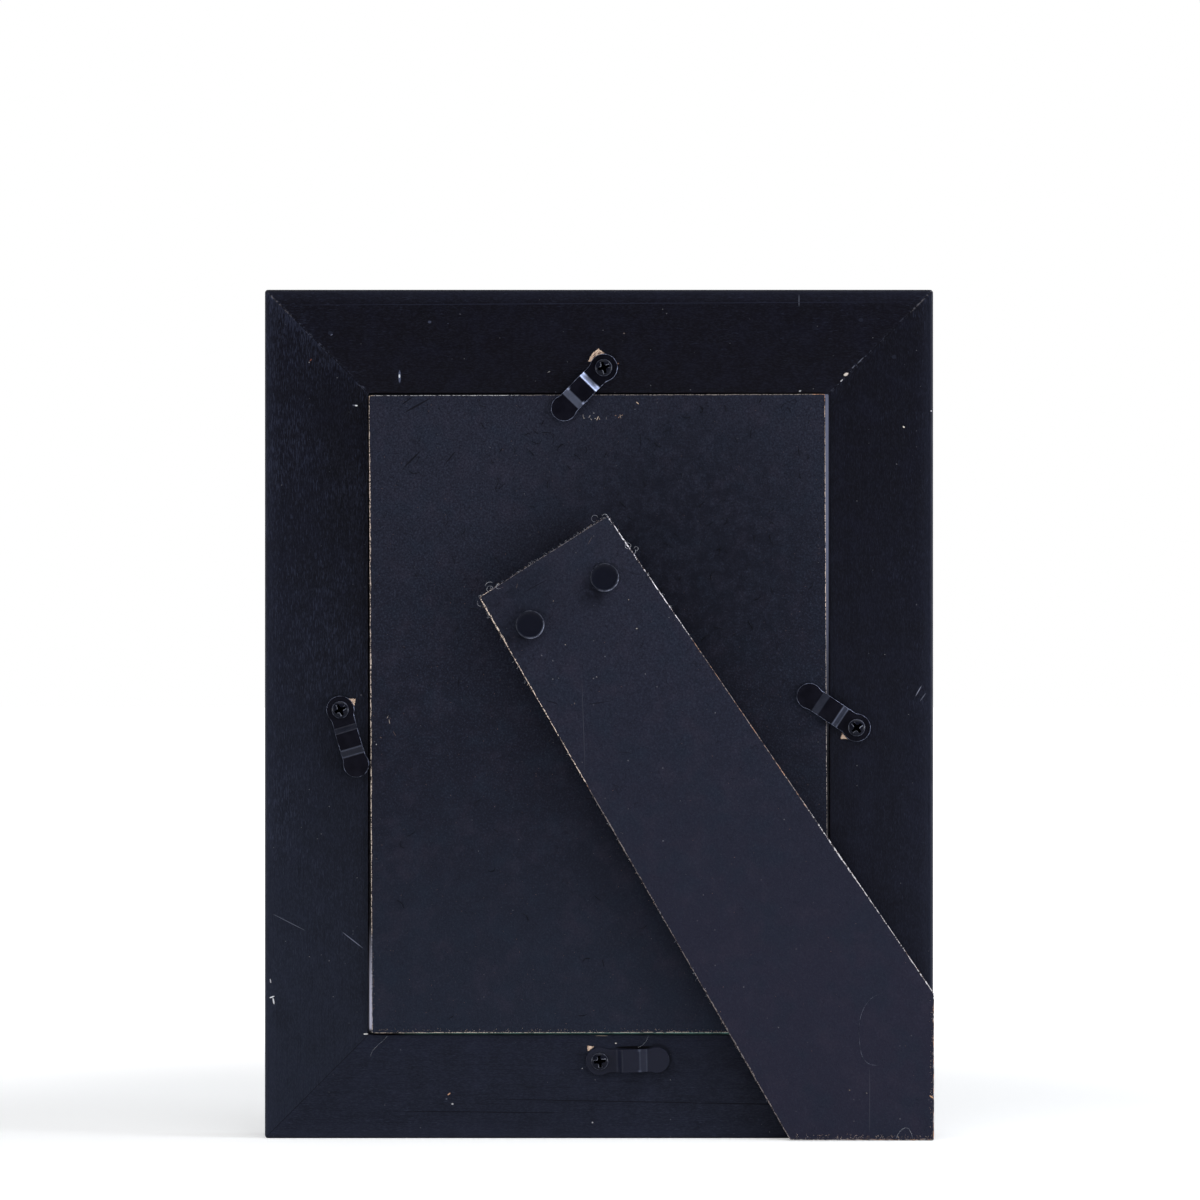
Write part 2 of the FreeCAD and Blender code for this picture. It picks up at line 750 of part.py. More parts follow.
def make_button(side, x, z):
    """One turn button."""
    body = new_body(f"turn_button_{side}", x, BACK_FACE, z, f"{side}_button_angle")
    width = "(2 * (max(button_head_radius; button_tip_radius) + overrun))"
    strip = new_sketch(body, "XY_Plane")
    add_loop(strip, button_profile())
    pad(body, strip, width, "both")

    bends = [number(bend) for bend in BUTTON_BENDS]

    def is_bend(start, end):
        return runs_along(start, end, "z") and any(math.isclose(start.x, bend) for bend in bends)

    soften(body, "Fillet", "button_bend_radius", is_bend)

    trim = new_sketch(body, "XZ_Plane")
    far = f"({BUTTON_REACH} + {width})"
    add_loop(trim, rectangle(f"(-{width})", f"(-{width})", far, width))
    add_loop(trim, button_plan())
    pocket(body, trim)

    hole = new_sketch(body, "XZ_Plane")
    add_circle(hole, "0", "0", "(screw_shank_radius + button_bore_clearance)")
    pocket(body, hole)


def make_screw(side, x, z):
    """A cross-head screw: domed head, plain shank and point."""
    seat = f"({BACK_FACE} - button_thickness - 2 * button_play)"
    body = new_body(f"turn_button_screw_{side}", x, seat, z, f"{side}_screw_angle")
    top = "(screw_head_rim + screw_head_dome)"
    dome_radius = "((screw_head_radius^2 + screw_head_dome^2) / (2 * screw_head_dome))"
    profile = new_sketch(body, "XY_Plane")
    add_loop(profile, [
        ("0", "screw_length"),
        ("0", f"(-{top})"),
        ("screw_head_radius", "(-screw_head_rim)", "0", f"({dome_radius} - {top})", "left"),
        ("screw_head_radius", "0"),
        ("screw_shank_radius", "0"),
        ("screw_shank_radius", "(screw_length - screw_point_length)"),
    ])
    revolve(body, profile)

    tip, side_of_slot = "(recess_span / 2)", "(recess_slot / 2)"
    points = [(tip, f"(-{side_of_slot})"), (tip, side_of_slot), (side_of_slot, side_of_slot)]
    for _ in range(3):
        points += [(f"(-{y})", x) for x, y in points[-3:]]
    cross = new_sketch(body, "XZ_Plane", f"({top} - recess_depth)")
    add_loop(cross, points)
    pocket(body, cross, "(recess_depth + overrun)")


def make_retainers():
    """A turn button and its screw on each rail."""
    pivots = {
        "top": ("top_button_shift", f"(frame_height - {button_inset('top')})"),
        "right": (f"({HALF_WIDTH} - {button_inset('right')})", f"({HALF_HEIGHT} + right_button_shift)"),
        "bottom": ("bottom_button_shift", button_inset("bottom")),
        "left": (f"({button_inset('left')} - {HALF_WIDTH})", f"({HALF_HEIGHT} + left_button_shift)"),
    }
    for side, (x, z) in pivots.items():
        make_button(side, x, z)
        make_screw(side, x, z)


make_retainers()


# Test every object, then write each sub-part under its own name.

document.recompute()
bodies = [item for item in document.Objects if item.TypeId == "PartDesign::Body"]
for item in document.Objects:
    if "Invalid" in item.State or "Error" in item.State:
        raise RuntimeError(f"{item.Label}: {item.State}")
for body in bodies:
    if body.Shape.isNull() or not body.Shape.isValid() or len(body.Shape.Solids) != 1:
        raise RuntimeError(f"{body.Label}: not one valid solid")

os.makedirs("parts", exist_ok=True)
for body in bodies:
    body.Shape.exportStep(f"parts/{body.Label}.step")
    box = body.Shape.BoundBox
    print(
        f"{body.Label}: {body.Shape.Volume:.1f} mm3, x {box.XMin:.2f} to {box.XMax:.2f}, "
        f"y {box.YMin:.2f} to {box.YMax:.2f}, z {box.ZMin:.2f} to {box.ZMax:.2f}"
    )
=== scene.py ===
# %% [markdown]
# # Dressing the back of an easel photo frame
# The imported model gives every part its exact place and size, in metres. This lesson adds what
# makes the frame look real from behind: brushed black paint on mitred rails, a blue-black
# fibreboard back and leg with raw worn edges, bent steel buttons, and loose fibres and hairs.

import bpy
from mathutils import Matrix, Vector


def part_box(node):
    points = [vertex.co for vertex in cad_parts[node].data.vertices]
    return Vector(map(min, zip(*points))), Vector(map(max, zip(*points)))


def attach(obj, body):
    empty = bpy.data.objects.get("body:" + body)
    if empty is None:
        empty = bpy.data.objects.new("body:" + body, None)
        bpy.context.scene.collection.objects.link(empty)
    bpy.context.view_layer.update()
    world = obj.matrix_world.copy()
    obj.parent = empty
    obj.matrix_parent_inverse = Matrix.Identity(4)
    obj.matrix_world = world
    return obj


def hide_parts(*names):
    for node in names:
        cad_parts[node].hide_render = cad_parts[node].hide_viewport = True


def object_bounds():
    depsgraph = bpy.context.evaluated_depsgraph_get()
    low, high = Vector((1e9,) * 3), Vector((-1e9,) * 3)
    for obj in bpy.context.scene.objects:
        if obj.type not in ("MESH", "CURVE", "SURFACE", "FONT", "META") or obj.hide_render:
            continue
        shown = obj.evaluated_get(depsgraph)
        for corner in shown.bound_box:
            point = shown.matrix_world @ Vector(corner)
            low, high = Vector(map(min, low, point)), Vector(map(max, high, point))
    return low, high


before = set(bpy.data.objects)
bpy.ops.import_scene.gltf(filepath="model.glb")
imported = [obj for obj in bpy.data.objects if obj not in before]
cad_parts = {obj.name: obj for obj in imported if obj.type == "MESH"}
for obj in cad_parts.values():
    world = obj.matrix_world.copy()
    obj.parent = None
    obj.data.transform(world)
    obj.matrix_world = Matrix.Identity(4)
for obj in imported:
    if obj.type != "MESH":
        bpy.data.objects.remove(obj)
cad_box = [list(corner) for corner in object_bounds()]

# %% [markdown]
# ## Units and the picture's grid
# The model is in metres, but a maker thinks in millimetres, so every size below is written as a
# number of MM. The picture looks straight at the back, so one scale turns any place in it into
# a place on the frame, which is how the small marks are put where they belong.

# %% Millimetres and picture places
import math

import bmesh
import bpy
import numpy as np
from mathutils import Vector

MM = 0.001
PIXEL = 0.28 * MM
MIDDLE_COLUMN = 599
BOTTOM_ROW = 1138.5


def at(column, row):
    """The frame's X and Z under a picture point: X = (column - 599) p, Z = (1138.5 - row) p."""
    return np.array([(column - MIDDLE_COLUMN) * PIXEL, (BOTTOM_ROW - row) * PIXEL])


def trail(*points):
    """Several picture points as an array of X and Z rows."""
    return np.array([at(*point) for point in points])


BACK_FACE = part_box("frame_rail_top")[0].y
print("the rails' back face lies at", round(BACK_FACE / MM, 2), "mm")

# %% [markdown]
# ## The camera
# A long lens far away keeps the rails straight and parallel, as a catalogue picture does. The
# camera could be orthographic, but a real lens still shows a trace of the edges' depth.

# %% Camera straight behind the frame
VIEW_DISTANCE = 1.5
VIEW_WIDTH = 1200 * PIXEL

scene = bpy.context.scene
lens = bpy.data.cameras.new("long_lens")
lens.sensor_width = 36
lens.lens = lens.sensor_width * VIEW_DISTANCE / VIEW_WIDTH
lens.clip_end = 50
camera = bpy.data.objects.new("camera", lens)
aim = at(600, 600)
camera.location = (aim[0], BACK_FACE - VIEW_DISTANCE, aim[1])
camera.rotation_euler = (math.pi / 2, 0, 0)
scene.collection.objects.link(camera)
scene.camera = camera
scene.view_settings.view_transform = "Standard"
print("lens:", round(lens.lens, 1), "mm")

# %% [markdown]
# ## Short words for shader nodes
# A finish is a graph of nodes. Small helpers keep the graphs readable: one places a node and
# wires its inputs, others do sums, soft masks, noise and blends of colours. A wire knows the tree
# that it is in, so most of them need no tree.

# %% Helpers that place and wire nodes


def is_wire(value):
    """Whether a value is another node's socket."""
    return isinstance(value, bpy.types.NodeSocket)


def put(kind, inputs=(), tree=None, **settings):
    """Add a shader node to the tree that its wires come from, or to the one that is given. Its
    properties are set, and each named input gets a value or a wire."""
    inputs = dict(inputs)
    tree = tree or next(value.id_data for value in inputs.values() if is_wire(value))
    node = tree.nodes.new("ShaderNode" + kind)
    for name, value in settings.items():
        setattr(node, name, value)
    for name, value in inputs.items():
        if is_wire(value):
            tree.links.new(value, node.inputs[name])
        else:
            node.inputs[name].default_value = value
    return node


def sums(operation):
    """A helper for one kind of sum, which puts a Math node on its values and returns the result."""

    def result(*values, clamp=False):
        node = put("Math", enumerate(values), operation=operation, use_clamp=clamp)
        return node.outputs[0]

    return result


plus, minus, times = sums("ADD"), sums("SUBTRACT"), sums("MULTIPLY")
least, most, below, unsigned = map(sums, ("MINIMUM", "MAXIMUM", "LESS_THAN", "ABSOLUTE"))


def split(vector):
    """A vector's X, Y and Z."""
    return put("SeparateXYZ", {0: vector}).outputs


def vectors(operation, *values):
    """The vector, or the length, that a sum on whole vectors gives."""
    node = put("VectorMath", enumerate(values), operation=operation)
    return node.outputs["Value" if operation == "LENGTH" else "Vector"]


def turned(vector, rotation):
    """The vector turned about the three axes by angles in radians."""
    return put("Mapping", {"Vector": vector, "Rotation": rotation}).outputs[0]


def stretched(vector, turn, factors):
    """The vector turned about Y, then scaled along each axis, so that a pattern runs one way."""
    inputs = {"Vector": turned(vector, (0, turn, 0)), "Scale": factors}
    return put("Mapping", inputs).outputs[0]


def bump(height, strength, distance):
    """The surface's direction, tilted by a height whose full step is the distance in mm."""
    inputs = {"Height": height, "Strength": strength, "Distance": distance * MM}
    return put("Bump", inputs).outputs["Normal"]


def ramp(value, start, end, low=0, high=1):
    """A smooth step from low to high as the value goes from start to end."""
    numbers = {"Value": value, "From Min": start, "From Max": end, "To Min": low, "To Max": high}
    return put("MapRange", numbers, interpolation_type="SMOOTHSTEP").outputs[0]


def colour(value):
    """A wire as it is, or a colour's 0 to 255 screen values as linear light, which shaders use."""
    if is_wire(value):
        return value
    screen = np.array(value) / 255
    linear = np.where(screen < 0.04045, screen / 12.92, ((screen + 0.055) / 1.055) ** 2.4)
    return (*linear.tolist(), 1)


def blend(mask, first, second):
    """One colour over another: first where the mask is 0, second where it is 1."""
    inputs = {0: mask, 6: colour(first), 7: colour(second)}
    return put("Mix", inputs, data_type="RGBA").outputs[2]


def noise(vector, scale, detail=3, roughness=0.6, distortion=0):
    """Smooth noise from 0 to 1 whose blots are about one over the scale across, in metres."""
    inputs = {"Vector": vector, "Scale": scale, "Detail": detail}
    inputs.update({"Roughness": roughness, "Distortion": distortion})
    return put("TexNoise", inputs).outputs["Fac"]


print("a screen grey of 128 is", round(colour((128, 128, 128))[0], 3), "in linear light")

# %% [markdown]
# ## The studio
# Black objects are lit by what they reflect. The backdrop is white wherever the camera, a
# reflection or the glass looks past the frame, but the light that falls on it stays plain: a
# grey room, two tall softboxes at the sides that draw the bright lines on the bent steel, one
# high on the right for the edges, and a weak one above that brightens the floor.

# %% World: a white backdrop in a grey room
ROOM_LIGHT = 0.26
ROOM_REFLECTION = 0.07
HORIZON = (-0.05, 0.3)
WHITE = (1, 1, 1, 1)

world = bpy.data.worlds.new("white_studio")
world.use_nodes = True
sky = world.node_tree
sky.nodes.clear()
ray = put("LightPath", tree=sky)
toward = split(put("TexCoord", tree=sky).outputs["Generated"])
mirrored = most(ray.outputs["Is Glossy Ray"], ray.outputs["Is Transmission Ray"])
backdrop = ramp(toward["Y"], *HORIZON, ROOM_REFLECTION, 1)
plain = put("Mix", {"Factor": mirrored, "A": ROOM_LIGHT, "B": backdrop}).outputs[0]
strength = most(ray.outputs["Is Camera Ray"], plain)
glow = put("Background", {"Color": WHITE, "Strength": strength})
put("OutputWorld", {"Surface": glow.outputs[0]})
scene.world = world
print("world:", world.name)

# %% Floor: pale, with the frame's soft shadow
FLOOR_REACH = 6
SHADOW_REACH = 0.45


def new_material(name):
    """An empty node material, and the place on the piece that its patterns read."""
    material = bpy.data.materials.new(name)
    material.use_nodes = True
    tree = material.node_tree
    tree.nodes.clear()
    return material, put("TexCoord", tree=tree).outputs["Object"]


def end_with(shader):
    """Wire a shader to the material's output."""
    put("OutputMaterial", {"Surface": shader.outputs[0]})


def painted(name, material):
    """A number that a piece carries on each of its points, read by its material."""
    return put("Attribute", tree=material.node_tree, attribute_name=name).outputs["Fac"]


def principled(tone, rough, **named):
    """A Principled shader with its colour and roughness. Other inputs go by their own names, with
    an underscore for a space."""
    inputs = {"Base Color": tone, "Roughness": rough}
    inputs.update({name.replace("_", " "): value for name, value in named.items()})
    return put("BsdfPrincipled", inputs)


floor_paint, place = new_material("pale_floor")
floor_tree = floor_paint.node_tree
ray = put("LightPath", tree=floor_tree)
away = vectors("LENGTH", place)
level = ramp(away, 0.4 * SHADOW_REACH, SHADOW_REACH, 0.4, 1)
backdrop = ramp(split(place)["Y"], *HORIZON, ROOM_REFLECTION, 1)
mirrored = most(ray.outputs["Is Glossy Ray"], ray.outputs["Is Transmission Ray"])
mirrored = times(mirrored, backdrop)
seen = most(ray.outputs["Is Camera Ray"], mirrored)
matt = put("BsdfDiffuse", {"Color": (0.8, 0.8, 0.8, 1)}, tree=floor_tree)
glow = put("Emission", {"Strength": times(seen, level)})
end_with(put("AddShader", {0: matt.outputs[0], 1: glow.outputs[0]}))

sheet = np.array([[-1, -1, 0], [1, -1, 0], [1, 1, 0], [-1, 1, 0]]) * FLOOR_REACH
floor_mesh = bpy.data.meshes.new("floor")
floor_mesh.from_pydata(sheet.tolist(), [], [(0, 1, 2, 3)])
floor_mesh.materials.append(floor_paint)
floor = bpy.data.objects.new("floor", floor_mesh)
scene.collection.objects.link(floor)
print("floor reaches", FLOOR_REACH, "m")

# %% Softboxes
TARGET = (0, BACK_FACE, 0.12)
FLOOR_SPOT = (0, -0.35, 0)


def softbox(name, place, size, power, tint, target=TARGET, spread=180):
    """A rectangular lamp at a place, facing the target, with its light kept within the spread."""
    lamp = bpy.data.lights.new(name, "AREA")
    lamp.shape = "RECTANGLE"
    lamp.size, lamp.size_y = size
    lamp.energy = power
    lamp.color = tint
    lamp.spread = math.radians(spread)
    box = bpy.data.objects.new(name, lamp)
    box.location = place
    aim_line = Vector(target) - Vector(place)
    box.rotation_euler = aim_line.to_track_quat("-Z", "Y").to_euler()
    box.visible_camera = False
    scene.collection.objects.link(box)


softbox("right_softbox", (0.95, -0.31, 0.08), (0.25, 0.4), 7.4, (0.90, 0.94, 1))
softbox("left_softbox", (-0.92, -0.36, 0.06), (0.25, 0.4), 3.9, (0.92, 0.95, 1))
softbox("edge_softbox", (0.75, -0.12, 0.95), (0.5, 0.3), 4.4, (0.88, 0.93, 1))
softbox("floor_softbox", (0, -0.55, 0.9), (1, 0.5), 1.5, (0.97, 0.98, 1), FLOOR_SPOT, 75)
print("softboxes: 4")

# %% [markdown]
# ## From arrays to meshes
# Each new piece is a surface worked out with numpy: a grid of points that depends on two
# numbers, how far along and how far around. One helper joins the grid's neighbours into quads,
# one adds flat caps, and one makes a closed mesh whose faces look outwards.

# %% Helpers that build a closed mesh


def ring_faces(rows, columns):
    """Quads between neighbours of a grid whose every row is a closed ring."""
    r, c = np.meshgrid(np.arange(rows - 1) * columns, np.arange(columns), indexing="ij")
    after = (c + 1) % columns
    corners = [r + c, r + after, r + columns + after, r + columns + c]
    return np.stack(corners, axis=-1).reshape(-1, 4)


def capped(rows, columns):
    """The same quads, with a flat cap on the first ring and another on the last."""
    first = list(range(columns))
    last = [(rows - 1) * columns + index for index in first]
    return [*ring_faces(rows, columns).tolist(), first[::-1], last]


def new_piece(name, points, faces, finish, body, stands_for=(), values=None, crease=35):
    """A closed mesh in place, riding on a body, that stands for the CAD nodes that it hides."""
    mesh = bpy.data.meshes.new(name)
    mesh.from_pydata(points.reshape(-1, 3).tolist(), [], [list(face) for face in faces])
    for label, numbers in (values or {}).items():
        attribute = mesh.attributes.new(label, "FLOAT", "POINT")
        attribute.data.foreach_set("value", np.asarray(numbers, np.float32).ravel())
    shell = bmesh.new()
    shell.from_mesh(mesh)
    bmesh.ops.remove_doubles(shell, verts=shell.verts, dist=1e-7)
    bmesh.ops.recalc_face_normals(shell, faces=shell.faces)
    shell.to_mesh(mesh)
    shell.free()
    mesh.shade_smooth()
    mesh.set_sharp_from_angle(angle=math.radians(crease))
    mesh.materials.append(finish)
    piece = bpy.data.objects.new(name, mesh)
    scene.collection.objects.link(piece)
    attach(piece, body)
    if stands_for:
        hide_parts(*stands_for)
    print(name, "on", body, "has", len(mesh.polygons), "faces")
    return piece


def finish_node(node, material):
    """Give a CAD node its finish."""
    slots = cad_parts[node].data.materials
    slots.clear()
    slots.append(material)


print("3 rings of 4 points have", len(ring_faces(3, 4)), "quads between them")

# %% [markdown]
# ## Marks in a finish
# A used frame is covered in small accidents: chips, scratches, filled nail holes. A few marks
# are painted shadows and a painted glint instead. Each is an ellipse with a ragged edge, laid on
# the surface at its own place. They could be painted by hand, but a node group with a centre, a
# size and an angle keeps them sharp at any distance.

# %% Node groups for marks and specks


def new_group(name, vector_names, number_names, output_names):
    """An empty node group with named vectors and numbers to take in and numbers to put out."""
    tree = bpy.data.node_groups.new(name, "ShaderNodeTree")
    sockets = ((vector_names, "INPUT", "Vector"), (number_names, "INPUT", "Float"))
    for labels, way, kind in (*sockets, (output_names, "OUTPUT", "Float")):
        for label in labels.split():
            tree.interface.new_socket(label, in_out=way, socket_type="NodeSocket" + kind)
    return tree, tree.nodes.new("NodeGroupInput").outputs, tree.nodes.new("NodeGroupOutput").inputs


def fill(group, **named):
    """What a placed node group puts out, with its named inputs set or wired."""
    return put("Group", named, node_tree=group).outputs


mark_group, ins, outs = new_group("ragged_mark", "Vector Centre Turn Stretch", "Rag", "Mask")
moved = vectors("SUBTRACT", ins["Vector"], ins["Centre"])
scaled = vectors("MULTIPLY", turned(moved, ins["Turn"]), ins["Stretch"])
reach = vectors("LENGTH", scaled)
edge_noise = minus(noise(ins["Vector"], 2600, 3, 0.7), 0.5)
ragged = plus(reach, times(edge_noise, ins["Rag"]))
mark_group.links.new(ramp(ragged, 1.15, 0.85), outs["Mask"])

darkening_group, ins, outs = new_group("soft_darkening", "Vector Centre Stretch", "", "Mask")
moved = vectors("SUBTRACT", ins["Vector"], ins["Centre"])
scaled = vectors("MULTIPLY", moved, ins["Stretch"])
darkening_group.links.new(ramp(vectors("LENGTH", scaled), 1.2, 0.2), outs["Mask"])

speck_group, ins, outs = new_group("pale_specks", "Vector", "Density Share Size", "Mask")
cells = put("TexVoronoi", {"Vector": ins["Vector"], "Scale": ins["Density"]})
chosen = put("SeparateColor", {0: cells.outputs["Color"]})
kept = below(chosen.outputs[0], ins["Share"])
small = times(ins["Size"], plus(chosen.outputs[1], 0.3))
dot = below(cells.outputs["Distance"], small)
bright = ramp(chosen.outputs[2], 0, 1, 0.25, 1)
speck_group.links.new(times(times(dot, kept), bright), outs["Mask"])
print("groups:", mark_group.name, darkening_group.name, speck_group.name)

# %% Lay a list of marks over a finish
MARK_DEPTH = 3 * MM
PATCH_DEPTH = 0.5 * MM


def marked(place, base, marks, face):
    """Blend marks over a colour near one face. A mark is (column, row, length, width, angle, rag,
    colour): lengths are full sizes in mm, and the angle is anticlockwise, in degrees."""
    for column, row, length, width, angle, rag, tone in marks:
        x, z = at(column, row)
        turn = (0, math.radians(angle), 0)
        stretch = (2 / (length * MM), 1 / MARK_DEPTH, 2 / (width * MM))
        centre = (x, face, z)
        mark = fill(mark_group, Vector=place, Centre=centre, Turn=turn, Stretch=stretch, Rag=rag)
        base = blend(mark["Mask"], base, tone)
    return base


def specked(place, base, density, share, size, amount, tone):
    """Blend dots over a colour: cells so many to a metre, a share of them with a dot."""
    specks = fill(speck_group, Vector=place, Density=density, Share=share, Size=size)
    return blend(times(specks["Mask"], amount), base, tone)


def patched(place, base, corners, tone, face, rag=0.6):
    """Blend a ragged convex patch over a colour near one face. Its mask is the least distance
    inside its sides and above its depth."""
    parts = split(place)
    points = trail(*corners)
    centre = points.mean(axis=0)
    inside = minus(face + PATCH_DEPTH, parts["Y"])
    for start, end in zip(points, np.roll(points, -1, axis=0)):
        run = (end - start) / np.linalg.norm(end - start)
        normal = np.array([-run[1], run[0]])
        normal *= np.sign(normal @ (centre - start))
        across = plus(times(parts["X"], normal[0]), times(parts["Z"], normal[1]))
        inside = least(inside, minus(across, normal @ start))
    rough = minus(noise(place, 3000, 3, 0.7), 0.5)
    depth = plus(inside, times(rough, rag * MM))
    return blend(ramp(depth, -0.05 * MM, 0.06 * MM), base, tone)


BARE_WOOD = (238, 208, 184)
PALE_CHIP = (185, 184, 190)
FAINT_CHIP = (95, 98, 112)
TAN_CHIP = (205, 160, 130)
DARK_PIT = (8, 8, 12)
CREASE = (20, 21, 29)
print("marks reach", MARK_DEPTH / MM, "mm deep and patches", PATCH_DEPTH / MM, "mm")

# %% [markdown]
# ## The rails
# Each rail is a machined moulding: a square back with softened outer edges, a rebate for the
# glass and a small bevel along the picture. The section is carried from mitre to mitre, and
# every line of it ends on the diagonal, so the four rails meet as sawn ones do.

# %% Rail section, from the outer edge inwards
HALF_WIDTH, _, HEIGHT = cad_box[1]
FRONT_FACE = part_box("frame_rail_top")[1].y
RAIL_WIDTH = 35 * MM
BACK_WIDTH = 29 * MM
REBATE_FLOOR = -3.6 * MM
SIGHT_BEVEL = 2.5 * MM
CORNER_RADIUS = 0.9 * MM
ARRIS_RADII = np.array([1, 1, 0.3, 0.3, 0.2, 0.15, 0.25]) * MM


def softened(corners, radii, steps=4):
    """A closed outline with each corner rounded: an arc tangent to both of its sides."""
    corners = np.asarray(corners, float)
    points = []
    for index, (corner, radius) in enumerate(zip(corners, radii)):
        before = corners[index - 1] - corner
        after = corners[(index + 1) % len(corners)] - corner
        before, after = before / np.linalg.norm(before), after / np.linalg.norm(after)
        half = math.acos(np.clip(before @ after, -1, 1)) / 2
        middle = before + after
        centre = corner + middle / np.linalg.norm(middle) * radius / math.sin(half)
        start = corner + before * radius / math.tan(half) - centre
        end = corner + after * radius / math.tan(half) - centre
        for share in np.linspace(0, 1, steps + 1):
            spoke = start * (1 - share) + end * share
            points.append(centre + spoke / np.linalg.norm(spoke) * radius)
    return np.array(points)


section_corners = [
    (0, BACK_FACE),
    (0, FRONT_FACE),
    (RAIL_WIDTH - SIGHT_BEVEL, FRONT_FACE),
    (RAIL_WIDTH, FRONT_FACE - SIGHT_BEVEL),
    (RAIL_WIDTH, REBATE_FLOOR),
    (BACK_WIDTH, REBATE_FLOOR),
    (BACK_WIDTH, BACK_FACE),
]
rail_section = softened(section_corners, ARRIS_RADII)
print("section points:", len(rail_section))

# %% Node groups for the grain and the mitres
grain_inputs = ("Vector Turn", "Along Across Cover")
grain_group, ins, outs = new_group("brushed_grain", *grain_inputs, "Streak Height")
factors = put("CombineXYZ", {0: ins["Along"], 1: ins["Across"], 2: ins["Across"]}).outputs[0]
run = vectors("MULTIPLY", turned(ins["Vector"], ins["Turn"]), factors)
fine = noise(run, 1, 2, 0.6)
broad = noise(vectors("MULTIPLY", run, (0.12, 0.22, 0.22)), 1, 2, 0.5)
over = minus(fine, minus(0.78, times(ins["Cover"], 0.35)))
grain_group.links.new(ramp(over, -0.03, 0.09), outs["Streak"])
grain_group.links.new(plus(times(fine, 0.6), times(broad, 0.7)), outs["Height"])

mitre_group, ins, outs = new_group("mitre_distance", "Vector", "", "Distance")
parts = split(ins["Vector"])
from_side = minus(HALF_WIDTH, unsigned(parts["X"]))
from_middle = unsigned(minus(parts["Z"], HEIGHT / 2))
from_end = minus(HEIGHT / 2, from_middle)
gap = unsigned(minus(from_side, from_end))
mitre_group.links.new(times(gap, math.sqrt(0.5)), outs["Distance"])
print("groups:", grain_group.name, mitre_group.name)

